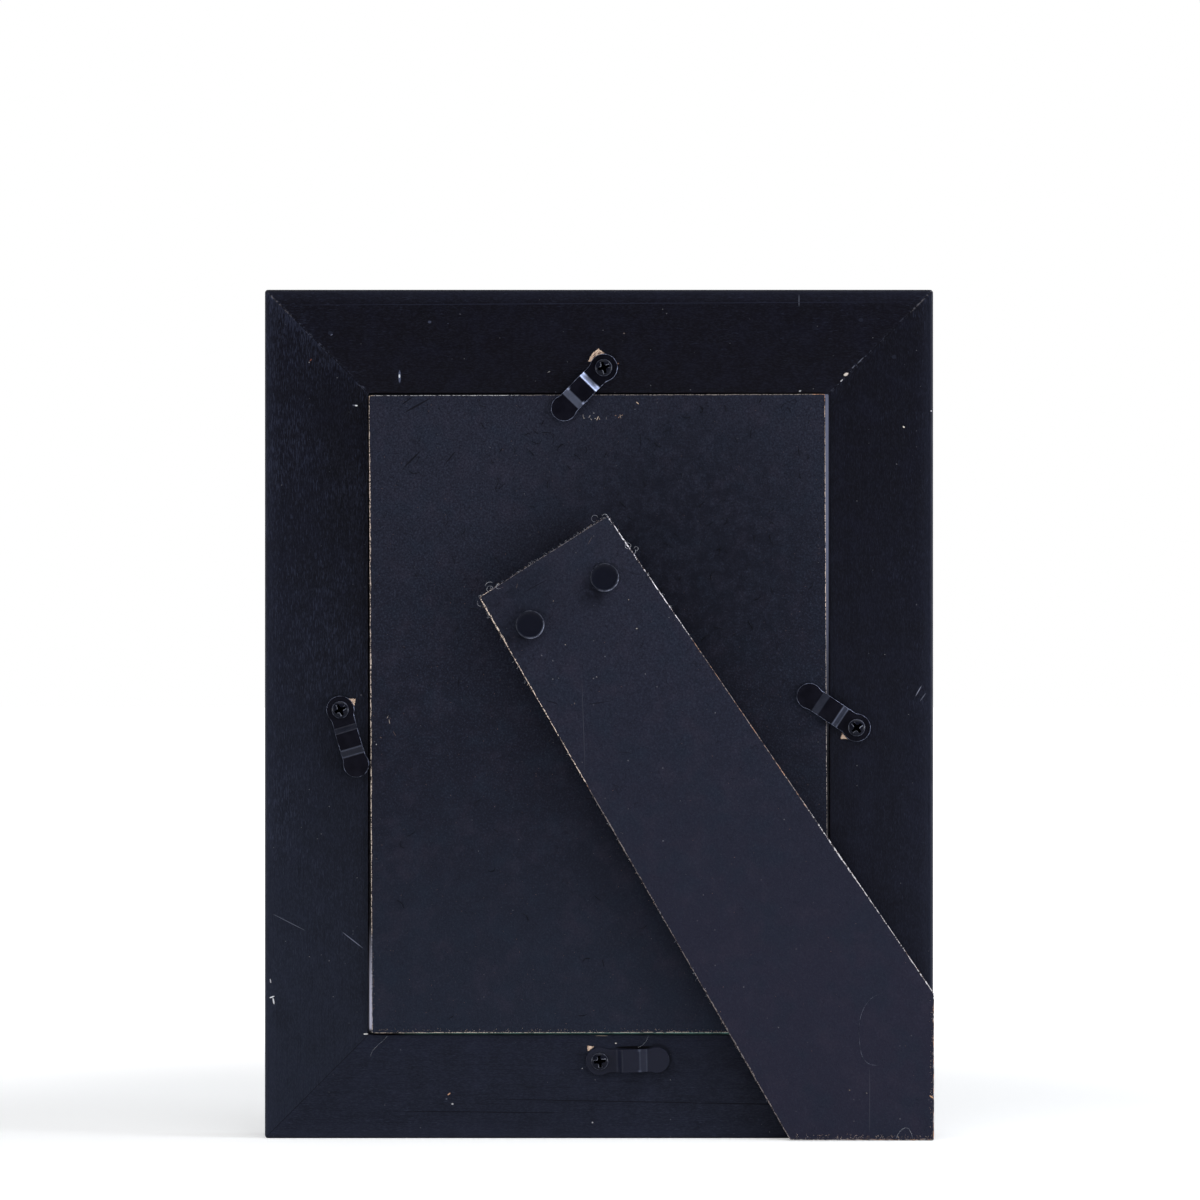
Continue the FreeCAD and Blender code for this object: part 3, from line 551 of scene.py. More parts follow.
# %% Marks and bare patches on the rails
PLUG = (34, 36, 48)
RAIL_MARKS = {
    "top": [
        (399.6, 376.5, 3.4, 0.65, 90, 0.5, (84, 90, 112)),
        (399.4, 376, 1, 0.45, 90, 0.5, (225, 228, 235)),
        (846, 374.3, 1.3, 0.8, 30, 1.2, (228, 214, 204)),
        (841.6, 380.6, 0.9, 0.35, 45, 1, PALE_CHIP),
        (838.4, 384.6, 0.6, 0.25, 45, 0.8, FAINT_CHIP),
        (833, 391, 0.7, 0.25, 45, 0.8, PALE_CHIP),
        (853.5, 366.8, 1.2, 0.3, 45, 0.9, FAINT_CHIP),
        (860.5, 360.5, 2.4, 0.25, 45, 0.9, FAINT_CHIP),
        (800, 391, 0.7, 0.4, 20, 0.8, PALE_CHIP),
        (799, 300.5, 3.2, 0.2, 90, 0.5, FAINT_CHIP),
        (600, 303.5, 190, 0.22, 0.3, 0.3, (36, 38, 52)),
        (330.5, 333, 1.3, 1.1, 0, 1.2, PLUG),
        (331.6, 334.8, 0.7, 0.22, 35, 0.9, (110, 115, 136)),
        (861, 320, 1.3, 1.1, 0, 1.2, PLUG),
        (429.6, 322, 0.9, 0.6, 0, 1.6, (66, 70, 88)),
        (448, 323.5, 0.3, 0.25, 0, 0.8, (66, 70, 88)),
        # A painted glint on the rail.
        (548.8, 371.9, 0.8, 0.16, 25, 0.9, (140, 136, 134)),
        (624, 333.4, 0.5, 0.3, 0, 1, (110, 98, 96)),
        (555.7, 392, 0.3, 0.25, 0, 0.8, FAINT_CHIP),
        (618.2, 363.5, 0.35, 0.3, 0, 0.9, (150, 108, 88)),
    ],
    "left": [
        (355.2, 405.3, 1.5, 0.4, -4, 0.7, FAINT_CHIP),
        (356.2, 405.6, 0.7, 0.4, -4, 0.5, (235, 235, 235)),
        (270.5, 981, 1.2, 0.3, 100, 0.8, PALE_CHIP),
        (272, 997, 1.4, 0.35, 20, 0.8, (222, 222, 226)),
        (273.5, 1001, 1.9, 0.4, 100, 0.8, (222, 222, 226)),
        (352.5, 940, 7, 0.2, -38, 0.7, (112, 116, 134)),
        (289.5, 922.5, 10, 0.16, -27, 0.7, FAINT_CHIP),
        (310.8, 360, 0.8, 0.3, 50, 1.2, (112, 68, 54)),
        (309.2, 362.3, 0.35, 0.25, 0, 0.9, (140, 136, 140)),
        (311.2, 362.6, 0.4, 0.3, 0, 0.8, DARK_PIT),
        (303, 1078, 1.2, 1, 0, 1.2, PLUG),
        (365.6, 1034, 1.3, 0.35, 0, 0.8, (216, 214, 212)),
    ],
    "right": [
        (903.8, 427, 0.66, 0.4, -40, 0.6, (226, 214, 204)),
        (931.3, 411, 0.5, 0.35, 0, 0.8, PALE_CHIP),
        (918.5, 691, 3.4, 0.22, 60, 0.7, (128, 130, 146)),
        (923, 697, 2.6, 0.2, 55, 0.7, FAINT_CHIP),
        (894, 357, 1.3, 1.1, 0, 1.2, PLUG),
    ],
    "bottom": [
        (449, 1094, 0.9, 0.35, 40, 0.9, TAN_CHIP),
        (452.5, 1104, 0.6, 0.4, 0, 0.9, PALE_CHIP),
        (615.9, 1043.3, 0.5, 0.32, 0, 0.8, (232, 222, 214)),
        (592.5, 1122.5, 0.4, 0.4, 0, 0.7, PALE_CHIP),
        (582.2, 1068.5, 0.25, 0.25, 0, 0.7, PALE_CHIP),
        (602, 1035.8, 3.4, 0.14, 0, 1, (150, 136, 120)),
        # Painted shadows: a dark line above the bottom button, and a dark disc round its tip that
        # the next, base-coloured disc trims to a thin ring.
        (639, 1047.4, 13, 0.8, 0, 0.3, (9, 9, 14)),
        (657.2, 1058.5, 7.8, 7.8, 0, 0.15, (11, 11, 17)),
        (657, 1058.5, 7.3, 7.3, 0, 0.15, (29, 32, 44)),
        (760, 1104, 70, 0.25, -1, 0.6, (14, 15, 22)),
        (600, 1101, 60, 0.2, -1, 0.6, (14, 15, 22)),
        (480, 1112, 55, 0.2, -0.6, 0.6, (14, 15, 22)),
        (446.5, 1099, 0.5, 0.3, 0, 0.9, FAINT_CHIP),
        (318, 1087, 1.1, 1, 0, 1.2, PLUG),
        (333, 1095, 1.1, 1, 0, 1.2, PLUG),
    ],
}
BARE_PATCHES = {
    "top": [
        (588.4, 361.6), (590, 357.2), (592.6, 353.2), (595.6, 350.8),
        (598.6, 348.8), (604.8, 353.6), (598, 362),
    ],
    "left": [(348.6, 698.8), (355.6, 698.8), (354.4, 705.6)],
    "right": [(840.6, 738.8), (842, 733), (847.6, 739)],
    "bottom": [(587.3, 1045.8), (594.2, 1046.4), (587.7, 1051.8)],
}
print("rail marks:", sum(len(marks) for marks in RAIL_MARKS.values()))

# %% Black rail paint


def rail_finish(side, lies, low_tone, high_tone, cover, glint, inner_dark):
    """Black paint brushed along the wood, thin on the grain, scuffed at the mitres and chipped."""

    def grain(along, across, cover):
        """Streaks along the rail, so many to a metre along it and across it."""
        turn = (0, 0 if lies else math.pi / 2, 0)
        numbers = {"Along": along, "Across": across, "Cover": cover}
        return fill(grain_group, Vector=place, Turn=turn, **numbers)

    material, place = new_material(f"black_rail_{side}")
    level = split(place)["Z"]
    # Lighter towards the frame's foot: painted light from below.
    base = blend(ramp(level, 0, HEIGHT), low_tone, high_tone)
    clouds = noise(place, 130)
    base = blend(ramp(clouds, 0.42, 0.7, 0, 0.2 * glint), base, (40, 43, 62))
    base = blend(ramp(clouds, 0.5, 0.25, 0, 0.25), base, (12, 12, 18))
    across_wood = split(place)["Z" if lies else "X"]
    if lies:
        across_wood = minus(across_wood, HEIGHT / 2)
    inwards = minus(HEIGHT / 2 if lies else HALF_WIDTH, unsigned(across_wood))
    # Darker towards the opening, and more so higher up: painted shade from the board beside it.
    darkest = ramp(level, 20 * MM, 190 * MM, 0.4 * inner_dark, 1.1 * inner_dark)
    painted_inner_shade = times(ramp(inwards, 0, BACK_WIDTH), darkest)
    base = blend(painted_inner_shade, base, (7, 7, 10))
    # A paler band along the outer edge: painted light.
    base = blend(ramp(inwards, 5 * MM, 0, 0, 0.3), base, (44, 47, 62))

    far = fill(mitre_group, Vector=place)["Distance"]
    fleck = grain(1300, 4200, 0.8)["Streak"]
    base = blend(times(fleck, 0.12 * glint), base, (74, 79, 100))
    density = ramp(noise(place, 45, 3, 0.5), 0.3, 0.7, 0.55, 1)
    density = plus(density, ramp(far, 4 * MM, 0.3 * MM, 0, 0.3))
    if not lies:
        density = times(density, ramp(level, 25 * MM, 110 * MM, 0.5, 1))
    brushed = grain(480, 3900, times(density, cover))
    shine = ramp(inwards, BACK_WIDTH, 0, 0.25 * glint, 0.42 * glint)
    base = blend(times(brushed["Streak"], shine), base, (70, 76, 100))
    long_grain = grain(60, 2400, 0.55)["Streak"]
    base = blend(times(long_grain, 0.22), base, (8, 8, 12))

    rough_scuff = noise(place, 900, 4, 0.7)
    scuff = times(ramp(far, 0.55 * MM, 0.05 * MM), ramp(rough_scuff, 0.5, 0.66))
    scuff = times(scuff, ramp(level, 40 * MM, 120 * MM))
    base = blend(times(scuff, 0.6 if side in ("top", "left") else 0.3), base, (96, 99, 118))
    seam = ramp(minus(far, times(rough_scuff, 0.1 * MM)), 0.09 * MM, 0.02 * MM)
    cracked = times(ramp(inwards, 9 * MM, 5 * MM), ramp(level, 180 * MM, 200 * MM))
    cracked = times(cracked, ramp(rough_scuff, 0.44, 0.6))
    base = blend(times(seam, 0.6), base, blend(cracked, DARK_PIT, (112, 106, 104)))

    base = specked(place, base, 900, 0.03, 0.1, 0.35, PALE_CHIP)
    base = marked(place, base, RAIL_MARKS[side], BACK_FACE)
    fibres = noise(stretched(place, math.radians(35), (700, 3600, 3600)), 1, 3, 0.7)
    wood = blend(ramp(fibres, 0.5, 0.62), BARE_WOOD, (104, 70, 54))
    base = patched(place, base, BARE_PATCHES[side], wood, BACK_FACE, 0.9)

    rough = ramp(clouds, 0.3, 0.7, 0.5, 0.38)
    relief = bump(brushed["Height"], 0.4, 0.05)
    end_with(principled(base, rough, Normal=relief, Specular_IOR_Level=0.08))
    return material


# Whether the rail lies, its tones at the frame's foot and top, how much of it the grain covers,
# how much its thin places shine through, and how much darker its inner edge is. The tones are
# painted light from below: lighter towards the foot, with the top rail darkest and the bottom one
# lightest. The darker inner edge is painted shade.
RAIL_LOOKS = {
    "top": (True, (16, 15, 23), (16, 15, 23), 0.45, 0.55, 0.1),
    "left": (False, (32, 36, 48), (17, 17, 26), 0.72, 0.66, 0.5),
    "right": (False, (23, 25, 36), (16, 16, 24), 0.5, 0.55, 0),
    "bottom": (True, (28, 31, 43), (28, 31, 43), 0.45, 0.7, 0),
}
rail_paints = {side: rail_finish(side, *looks) for side, looks in RAIL_LOOKS.items()}
print("rail paints:", len(rail_paints))

# %% Carry the section from mitre to mitre


def rail_surface(length):
    """Points of a rail in its own frame: s along it, b inwards from its outer edge, and y.
    The outer line is straight, then an arc of 45 degrees into the corner; the inner line is
    shorter by two widths; every other line of the section is a mix of the two by b / width."""
    straight = length / 2 - CORNER_RADIUS
    angle = np.linspace(0, math.pi / 4, 6)
    half = np.linspace(0, straight, 60)
    s_outer = np.concatenate([half[:-1], straight + CORNER_RADIUS * np.sin(angle)])
    b_outer = np.concatenate([half[:-1] * 0, CORNER_RADIUS * (1 - np.cos(angle))])
    s_outer = np.concatenate([-s_outer[:0:-1], s_outer])
    b_outer = np.concatenate([b_outer[:0:-1], b_outer])
    s_inner = s_outer / s_outer[-1] * (length / 2 - RAIL_WIDTH)
    share = rail_section[:, 0] / RAIL_WIDTH
    s = s_outer[:, None] * (1 - share) + s_inner[:, None] * share
    b = b_outer[:, None] * (1 - share) + RAIL_WIDTH * share
    return s, b, np.broadcast_to(rail_section[:, 1], s.shape)


for side, length, start, along, inward in (
    ("bottom", 2 * HALF_WIDTH, (0, 0), (1, 0), (0, 1)),
    ("right", HEIGHT, (HALF_WIDTH, HEIGHT / 2), (0, 1), (-1, 0)),
    ("top", 2 * HALF_WIDTH, (0, HEIGHT), (-1, 0), (0, -1)),
    ("left", HEIGHT, (-HALF_WIDTH, HEIGHT / 2), (0, -1), (1, 0)),
):
    s, b, y = rail_surface(length)
    x = start[0] + along[0] * s + inward[0] * b
    z = start[1] + along[1] * s + inward[1] * b
    points = np.stack([x, y, z], axis=-1)
    node = f"frame_rail_{side}"
    rail = new_piece(f"rail_{side}", points, capped(*s.shape), rail_paints[side], "frame", [node])

# %% [markdown]
# ## The fibreboard back and leg
# Both are hardboard faced with a blue-black paper. Sawing leaves the raw brown board bare along
# the edges, and use breaks the paper's arris into a thin uneven tan line. The slab is a pile of
# outlines, each a little further in, and a number on every point tells how worn it is.

# %% Slabs with worn edges


def inset_outline(corners, radius, inset, spacing):
    """A closed outline cut back by an inset, sampled the same way for every inset: each side in
    even steps, each corner as an arc. It also gives the direction inwards and the side's number
    at every point."""
    corners = np.asarray(corners, float)
    sides = np.roll(corners, -1, axis=0) - corners
    lengths = np.linalg.norm(sides, axis=1)
    runs = sides / lengths[:, None]
    inwards = np.stack([-runs[:, 1], runs[:, 0]], axis=1)
    before = np.roll(inwards, 1, axis=0)
    mitre = (before + inwards) / (1 + np.sum(before * inwards, axis=1))[:, None]
    rounding = max(radius - inset, 0.1 * MM)
    moved = corners + mitre * inset
    centres = moved + mitre * rounding
    points, directions, owners = [], [], []
    for index in range(len(corners)):
        following = (index + 1) % len(corners)
        for share in np.linspace(0, 1, 5):
            spoke = before[index] * (1 - share) + inwards[index] * share
            spoke = spoke / np.linalg.norm(spoke)
            points.append(centres[index] - spoke * rounding)
            directions.append(spoke)
            owners.append(index)
        start = centres[index] - inwards[index] * rounding
        end = centres[following] - inwards[index] * rounding
        count = max(2, round(lengths[index] / spacing))
        for share in np.arange(1, count) / count:
            points.append(start * (1 - share) + end * share)
            directions.append(inwards[index])
            owners.append(index)
    return np.array(points), np.array(directions), np.array(owners)


def waver(count, spacing, random):
    """A closed run of smooth random numbers from 0 to 1, with a new value every few points."""
    knots = max(4, round(count / spacing))
    values = random.random(knots)
    places = np.arange(count) / count * knots
    return np.interp(places, np.arange(knots + 1), np.append(values, values[0]))


SPACING = 0.35 * MM
FRONT_ARRIS = 0.12 * MM
FRAY = 0.06 * MM
DEPTH_TO_WIDTH = 0.8


def worn_slab(corners, radius, back, front, wear, seed):
    """Rings of a slab between two faces: both arrises are broken by an uneven amount, the back one
    more, and the face is an inner ring that a flat cap closes. Wear is each side's widest break."""
    random = np.random.default_rng(seed)
    outline, inward, owner = inset_outline(corners, radius, 0, SPACING)
    count = len(outline)
    uneven = 0.25 + 0.4 * waver(count, 5, random) + 0.35 * waver(count, 2, random)
    width = np.asarray(wear)[owner] * uneven * (0.5 + waver(count, 60, random))
    fray = FRAY * waver(count, 2, random)

    def flat(inset, level):
        """A ring on a face, with nothing bare."""
        return inset_outline(corners, radius, inset, SPACING)[0], level, 0

    rings = [
        flat(2.5 * MM, front),
        flat(0.5 * MM, front),
        (outline + inward * FRONT_ARRIS, front, 0.3),
        (outline, front - FRONT_ARRIS, 1),
    ]
    for share in (0, 0.35, 0.7, 1):
        turn = share * math.pi / 2
        edge = outline + inward * (width * (1 - math.cos(turn)) + fray)[:, None]
        level = back + width * DEPTH_TO_WIDTH * (1 - math.sin(turn))
        rings.append((edge, level, 1 if share < 1 else 0.8))
    inner = outline + inward * (width + fray + FRAY)[:, None]
    rings += [(inner, back, 0.25), flat(1.6 * MM, back), flat(3.5 * MM, back)]
    points = [np.insert(ring, 1, level, axis=1) for ring, level, _ in rings]
    bare = [np.full(count, amount) for _, _, amount in rings]
    return np.array(points), capped(len(rings), count), np.array(bare)


def slab_finish(name, face, tones, mottle, marks, darkenings, strips):
    """Blue-black paper on brown hardboard: mottled, flecked with fibres, tan where it is bare.
    The tones run from the foot up, and a darkening, a soft darker patch, is (column, row, width,
    height, amount)."""
    material, place = new_material(name)
    level = split(place)["Z"]
    lower = blend(ramp(level, 30 * MM, 110 * MM), tones[0], tones[1])
    base = blend(ramp(level, 110 * MM, 205 * MM), lower, tones[2])
    mottle = ramp(level, 60 * MM, 150 * MM, 0.4 * mottle, mottle)
    clouds = noise(place, 1900, 4, 0.7)
    broad = noise(place, 160)
    base = blend(ramp(broad, 0.45, 0.75, 0, 0.3), base, (52, 48, 62))
    cool = noise(place, 110)
    base = blend(ramp(cool, 0.45, 0.7, 0, 0.4), base, (32, 40, 54))
    base = blend(times(ramp(clouds, 0.54, 0.3, 0, 0.65), mottle), base, (13, 15, 25))
    base = blend(times(ramp(clouds, 0.5, 0.72, 0, 0.5), mottle), base, (66, 72, 94))
    curls = noise(place, 260, 1, 0.5, 1.5)
    line = ramp(unsigned(minus(curls, 0.5)), 0.008, 0.002)
    base = blend(times(line, mottle, clamp=True), base, (22, 23, 32))
    base = specked(place, base, 620, 0.1, 0.09, 0.5, (134, 134, 142))
    base = specked(place, base, 1300, 0.12, 0.1, 0.7, (168, 132, 116))
    base = marked(place, base, marks, face)
    uneven = ramp(noise(place, 380, 4, 0.7), 0.3, 0.65, 0.33, 1)
    for column, row, width, height, amount in darkenings:
        x, z = at(column, row)
        stretch = (2 / (width * MM), 0, 2 / (height * MM))
        darkening = fill(darkening_group, Vector=place, Centre=(x, 0, z), Stretch=stretch)
        base = blend(times(times(darkening["Mask"], amount), uneven), base, (15, 17, 27))

    bare = painted("bare", material)
    rough_edge = minus(noise(place, 1500, 3, 0.7), 0.5)
    shown = ramp(plus(bare, times(rough_edge, 1.1)), 0.5, 0.7)
    tan = blend(ramp(noise(place, 420, 3, 0.5), 0.42, 0.62), (150, 144, 144), (176, 140, 116))
    for corners, tone in strips:
        tan = patched(place, tan, corners, tone, face)
    tan = blend(ramp(noise(place, 1700, 3, 0.7), 0.47, 0.56), tan, (50, 46, 50))
    under = minus(split(place)["Y"], face)
    brown = blend(ramp(noise(place, 700, 4, 0.7), 0.35, 0.65), (112, 82, 62), (158, 122, 96))
    tan = blend(ramp(under, 0.3 * MM, 0.7 * MM), tan, brown)
    base = blend(shown, base, tan)

    grains = plus(clouds, times(noise(place, 3200, 2, 0.6), 0.4))
    height = minus(grains, times(line, 0.25))
    rough = ramp(shown, 0, 1, 0.62, 0.9)
    relief = bump(height, 0.55, 0.12)
    end_with(principled(base, rough, Normal=relief, Specular_IOR_Level=0.08))
    return material


print("slab helpers are ready")

# %% The back board
BOARD_SIZE = np.array([128.3, 178.8]) * MM
BOARD_TURN = math.radians(0.188)
CORNER_SHIFTS = np.array([(0.25, 0.3), (-0.3, 0.1), (-0.6, 0), (0, 0)]) * MM
BOARD_WEAR = np.array([0.22, 0.17, 0.2, 0.36]) * MM
board_low, board_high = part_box("back_board")
board_middle = np.array([board_low.x + board_high.x, board_low.z + board_high.z]) / 2
cosine, sine = math.cos(BOARD_TURN), math.sin(BOARD_TURN)
signs = np.array([(-1, -1), (1, -1), (1, 1), (-1, 1)]) / 2
board_corners = (signs * BOARD_SIZE) @ np.array([[cosine, sine], [-sine, cosine]]) + board_middle
board_corners += CORNER_SHIFTS
board_marks = [
    (583.2, 416.4, 1.2, 0.12, 98, 0.8, (170, 164, 160)),
    (584.2, 418.2, 0.35, 0.2, 0, 0.9, (170, 164, 160)),
    (589.5, 416.6, 0.7, 0.14, 60, 0.9, (196, 190, 188)),
    (591.2, 419.4, 0.6, 0.14, 120, 0.9, (196, 190, 188)),
    (593.8, 413.2, 0.35, 0.18, 0, 0.9, (170, 168, 172)),
    (595.2, 418.6, 0.5, 0.14, 20, 0.9, (196, 190, 188)),
    (597.6, 418.2, 1.3, 0.18, 66, 0.9, (240, 222, 200)),
    (599.4, 419, 0.5, 0.14, 120, 0.9, (220, 196, 172)),
    (606.3, 418.3, 0.8, 0.12, 88, 0.8, (122, 118, 120)),
    (615.6, 415.6, 0.4, 0.2, 0, 0.9, (150, 126, 112)),
    (618.8, 417.4, 0.7, 0.13, 45, 0.9, (190, 154, 130)),
    (620.4, 416.4, 1.1, 0.13, 105, 0.9, (196, 176, 160)),
    (622, 415.4, 0.5, 0.13, 30, 0.9, (180, 150, 130)),
    (637.5, 403.1, 0.95, 0.24, -38, 0.8, (244, 214, 184)),
    (635, 409.4, 0.4, 0.22, 0, 0.8, FAINT_CHIP),
    (387.8, 717, 0.9, 0.17, 60, 1, (160, 150, 142)),
    (389.5, 721.5, 1.2, 0.17, 100, 1, (160, 150, 142)),
    (394.6, 733.5, 1.6, 0.12, -60, 0.8, (98, 80, 76)),
    (381, 737.5, 0.6, 0.18, -30, 1, (112, 94, 86)),
    (376.5, 744.4, 0.3, 0.3, 0, 0.6, PALE_CHIP),
    (417.5, 405.5, 8, 0.5, 29, 1.2, CREASE),
    (412.3, 459.3, 6.5, 0.45, 45, 1.2, CREASE),
    (450.5, 457.5, 4, 0.4, 51, 1.2, CREASE),
    (407, 401, 3.5, 0.4, 37, 1.2, CREASE),
]
CHALK = (206, 204, 206)
RAW_BOARD = (226, 172, 140)
board_strips = [
    ([(364, 400), (376, 400), (376, 945), (364, 945)], (224, 206, 192)),
    ([(364, 935), (376, 935), (376, 1036), (364, 1036)], (186, 184, 198)),
    ([(372, 386), (520, 386), (520, 400), (372, 400)], CHALK),
    ([(520, 386), (816, 386), (816, 402), (520, 402)], (160, 150, 144)),
    ([(372, 1024), (740, 1024), (740, 1040), (372, 1040)], (206, 190, 176)),
    ([(816, 404), (832, 404), (832, 640), (818, 640)], (224, 202, 184)),
    ([(816, 620), (832, 620), (832, 840), (818, 840)], (172, 162, 158)),
    ([(810, 388), (830, 388), (830, 406), (816, 402)], RAW_BOARD),
    ([(364, 388), (374, 388), (374, 400), (364, 406)], (222, 196, 172)),
]
board_tones = [(33, 37, 50), (28, 30, 42), (38, 40, 53)]
# A soft painted shade beside the strut's top, as from the strut standing off the board.
board_darkening = [(680, 560, 100, 118, 0.75)]
board_paper = slab_finish(
    "board_paper", board_low.y, board_tones, 0.8, board_marks, board_darkening, board_strips
)
board_faces = (board_low.y, board_high.y)
points, faces, bare = worn_slab(board_corners, 0.5 * MM, *board_faces, BOARD_WEAR, 11)
board = new_piece("board_back", points, faces, board_paper, "frame", ["back_board"], {"bare": bare})

# %% The strut leg
leg_low, leg_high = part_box("strut_leg")
leg_places = [(53.2, 0.25), (93.45, 0.06), (93.45, 41.2), (2.45, 174.35), (-33.5, 151.5)]
leg_corners = np.array(leg_places) * MM
LEG_WEAR = np.array([0.45, 0.3, 0.3, 0.13, 0.42]) * MM
leg_marks = [
    (583.5, 724, 24, 0.14, 92, 0.4, (62, 64, 76)),
    (868.5, 1098, 18, 0.14, 90, 0.4, (62, 64, 76)),
    (930.6, 1094.9, 1.6, 0.36, -32, 0.8, (214, 168, 132)),
    (848.5, 1088, 0.3, 0.22, 0, 0.9, (150, 140, 118)),
    (865.5, 1091, 0.4, 0.18, -40, 0.9, (140, 134, 122)),
    (628.6, 599.8, 0.24, 0.2, 0, 0.8, (172, 160, 150)),
    (636.6, 628.4, 0.4, 0.24, 20, 0.8, (186, 176, 158)),
    (553.6, 601, 0.24, 0.2, 0, 0.8, (150, 136, 126)),
    (565.5, 644.5, 0.3, 0.26, 0, 0.8, (150, 142, 130)),
    (596.7, 676.6, 0.26, 0.22, 0, 0.8, (160, 158, 160)),
    (574.7, 703, 0.5, 0.14, 70, 0.8, (130, 118, 108)),
    (517.3, 586, 1.6, 0.12, 75, 1, (96, 84, 82)),
    (590, 541, 2.4, 0.12, 62, 1, (92, 82, 82)),
    (535, 586.5, 7.2, 0.3, 28, 1, (26, 28, 38)),
    (553, 702, 3.4, 0.32, -18, 1, (24, 26, 36)),
    (598, 702.5, 6.5, 0.25, 8, 1, (26, 28, 38)),
]
leg_strips = [
    ([(598, 512), (612, 500), (704, 632), (684, 644)], (246, 244, 250)),
    ([(690, 626), (704, 620), (946, 984), (930, 1000)], CHALK),
    ([(482, 590), (600, 508), (610, 524), (492, 604)], (126, 122, 126)),
    ([(466, 590), (494, 590), (602, 780), (574, 784)], (252, 232, 214)),
    ([(560, 790), (640, 790), (840, 1145), (760, 1145)], (140, 132, 130)),
]
leg_tones = [(39, 39, 54), (36, 38, 52), (42, 44, 57)]
# Soft darkenings on the leg: a broad one near its top left, and the rivets' painted shadows at
# their lower left.
leg_darkening = [
    (520, 600, 33, 33, 0.4),
    (514, 637, 11, 11, 0.95),
    (592, 594, 10, 10, 0.9),
]
leg_paper = slab_finish("leg_paper", leg_low.y, leg_tones, 0.6, leg_marks, leg_darkening, leg_strips)
leg_faces = (leg_low.y, leg_high.y)
points, faces, bare = worn_slab(leg_corners, 0.6 * MM, *leg_faces, LEG_WEAR, 5)
leg = new_piece("leg_of_strut", points, faces, leg_paper, "strut", ["strut_leg"], {"bare": bare})

# %% [markdown]
# ## The turn buttons
# A turn button is a stamped steel strip: round head, straight neck, round tip, with two bends
# that make it spring down on the board. It is enamelled black, and the enamel has rubbed off
# along the edges and bends; the bends' bright bands are partly painted highlight. Each point of
# the outline slides inwards to make the rounded edge.

# %% The strip's surface
HEAD_RADIUS, TIP_RADIUS, TIP_PLACE = 3.9, 3.6, 15.9
NECK_HALF, FILLET, STRIP = 3.2, 3, 0.8
RISE, FALL = (4.8, 6.4), (11.2, 13.2)


def half_width(x):
    """Half the strip's width: the head's circle, a fillet, the neck, a fillet, the tip's circle."""
    rise = NECK_HALF + FILLET
    head_reach = math.sqrt((HEAD_RADIUS + FILLET) ** 2 - rise**2)
    tip_reach = math.sqrt((TIP_RADIUS + FILLET) ** 2 - rise**2)
    head = np.sqrt(np.maximum(HEAD_RADIUS**2 - x**2, 0))
    tip = np.sqrt(np.maximum(TIP_RADIUS**2 - (x - TIP_PLACE) ** 2, 0))
    near = rise - np.sqrt(np.maximum(FILLET**2 - (x - head_reach) ** 2, 0))
    far = rise - np.sqrt(np.maximum(FILLET**2 - (x - TIP_PLACE + tip_reach) ** 2, 0))
    ends = [
        head_reach * HEAD_RADIUS / (HEAD_RADIUS + FILLET),
        head_reach,
        TIP_PLACE - tip_reach,
        TIP_PLACE - tip_reach * TIP_RADIUS / (TIP_RADIUS + FILLET),
    ]
    return np.select([x < end for end in ends], [head, near, NECK_HALF, far], tip)


def lift(x):
    """Height of the strip's underside over the rail: flat, a steep rise, flat, an easy fall."""
    samples = x[..., None] + np.linspace(-0.3, 0.3, 9)
    heights = np.interp(samples, [4.9, 6.3, 11.2, 13.2], [0.1, 2, 2, 1])
    return heights.mean(axis=-1)


def strip_surface():
    """Points of the strip: along its outline, then round its section. A point is the outline point
    moved inwards by an inset, times a share of the way to the edge, at the lift plus a depth."""
    end = np.linspace(0, math.pi / 2, 15)
    neck = np.linspace(0.15, TIP_PLACE - 0.15, 107)
    x = [-HEAD_RADIUS * np.cos(end), neck, TIP_PLACE + TIP_RADIUS * np.sin(end)]
    x = np.concatenate(x)
    h = half_width(x)
    slope_x, slope_h = np.gradient(x), np.gradient(h)
    slope_x[0] = slope_x[-1] = 0
    normal = np.stack([slope_h, -slope_x], axis=-1) / np.hypot(slope_x, slope_h)[:, None]
    normal[0], normal[-1] = (1, 0), (-1, 0)

    def there_and_back(*parts, sign=1):
        """Numbers from the middle of the back to the middle of the front, and back again."""
        half = np.concatenate(parts)
        return np.concatenate([half, sign * half[-2:0:-1]])

    turn = np.linspace(0, math.pi / 2, 5)
    rise, run = 1 - np.cos(turn), 1 - np.sin(turn)
    back_edge, front_edge = 0.12, 0.1
    shares = np.append(np.linspace(0, 0.9, 9), 0.985)
    share = there_and_back(shares, np.ones(10), [0], sign=-1)
    flat_inset, flat_depth = np.full(10, back_edge), np.full(10, STRIP)
    inset = there_and_back(flat_inset, back_edge * run, front_edge * rise, [front_edge])
    depth = there_and_back(flat_depth, STRIP - back_edge * rise, front_edge * run, [0])
    edge_wear = [0.7, 1, 1, 1, 0.9]
    worn = there_and_back(np.where(shares > 0.95, 0.2, 0), edge_wear, np.full(6, 0.6))
    along = x[:, None] + normal[:, :1] * inset
    across = (h[:, None] + normal[:, 1:] * inset) * share
    return along, across, lift(along) + depth, np.broadcast_to(worn, along.shape)


along, across, tall, worn = strip_surface()
print("strip grid:", along.shape, "lift", round(float(tall.max()), 2), "mm")

# %% Rubbed enamel, with painted highlights on the bends
enamel, place = new_material("enamel_rub_and_highlight")
worn_value = painted("worn", enamel)
bend_value = painted("bend", enamel)
ragged = times(minus(noise(place, 520, 4, 0.65), 0.5), 1.1)
rub_and_highlight = ramp(plus(worn_value, ragged), 0.58, 1.04, 0, 0.66)
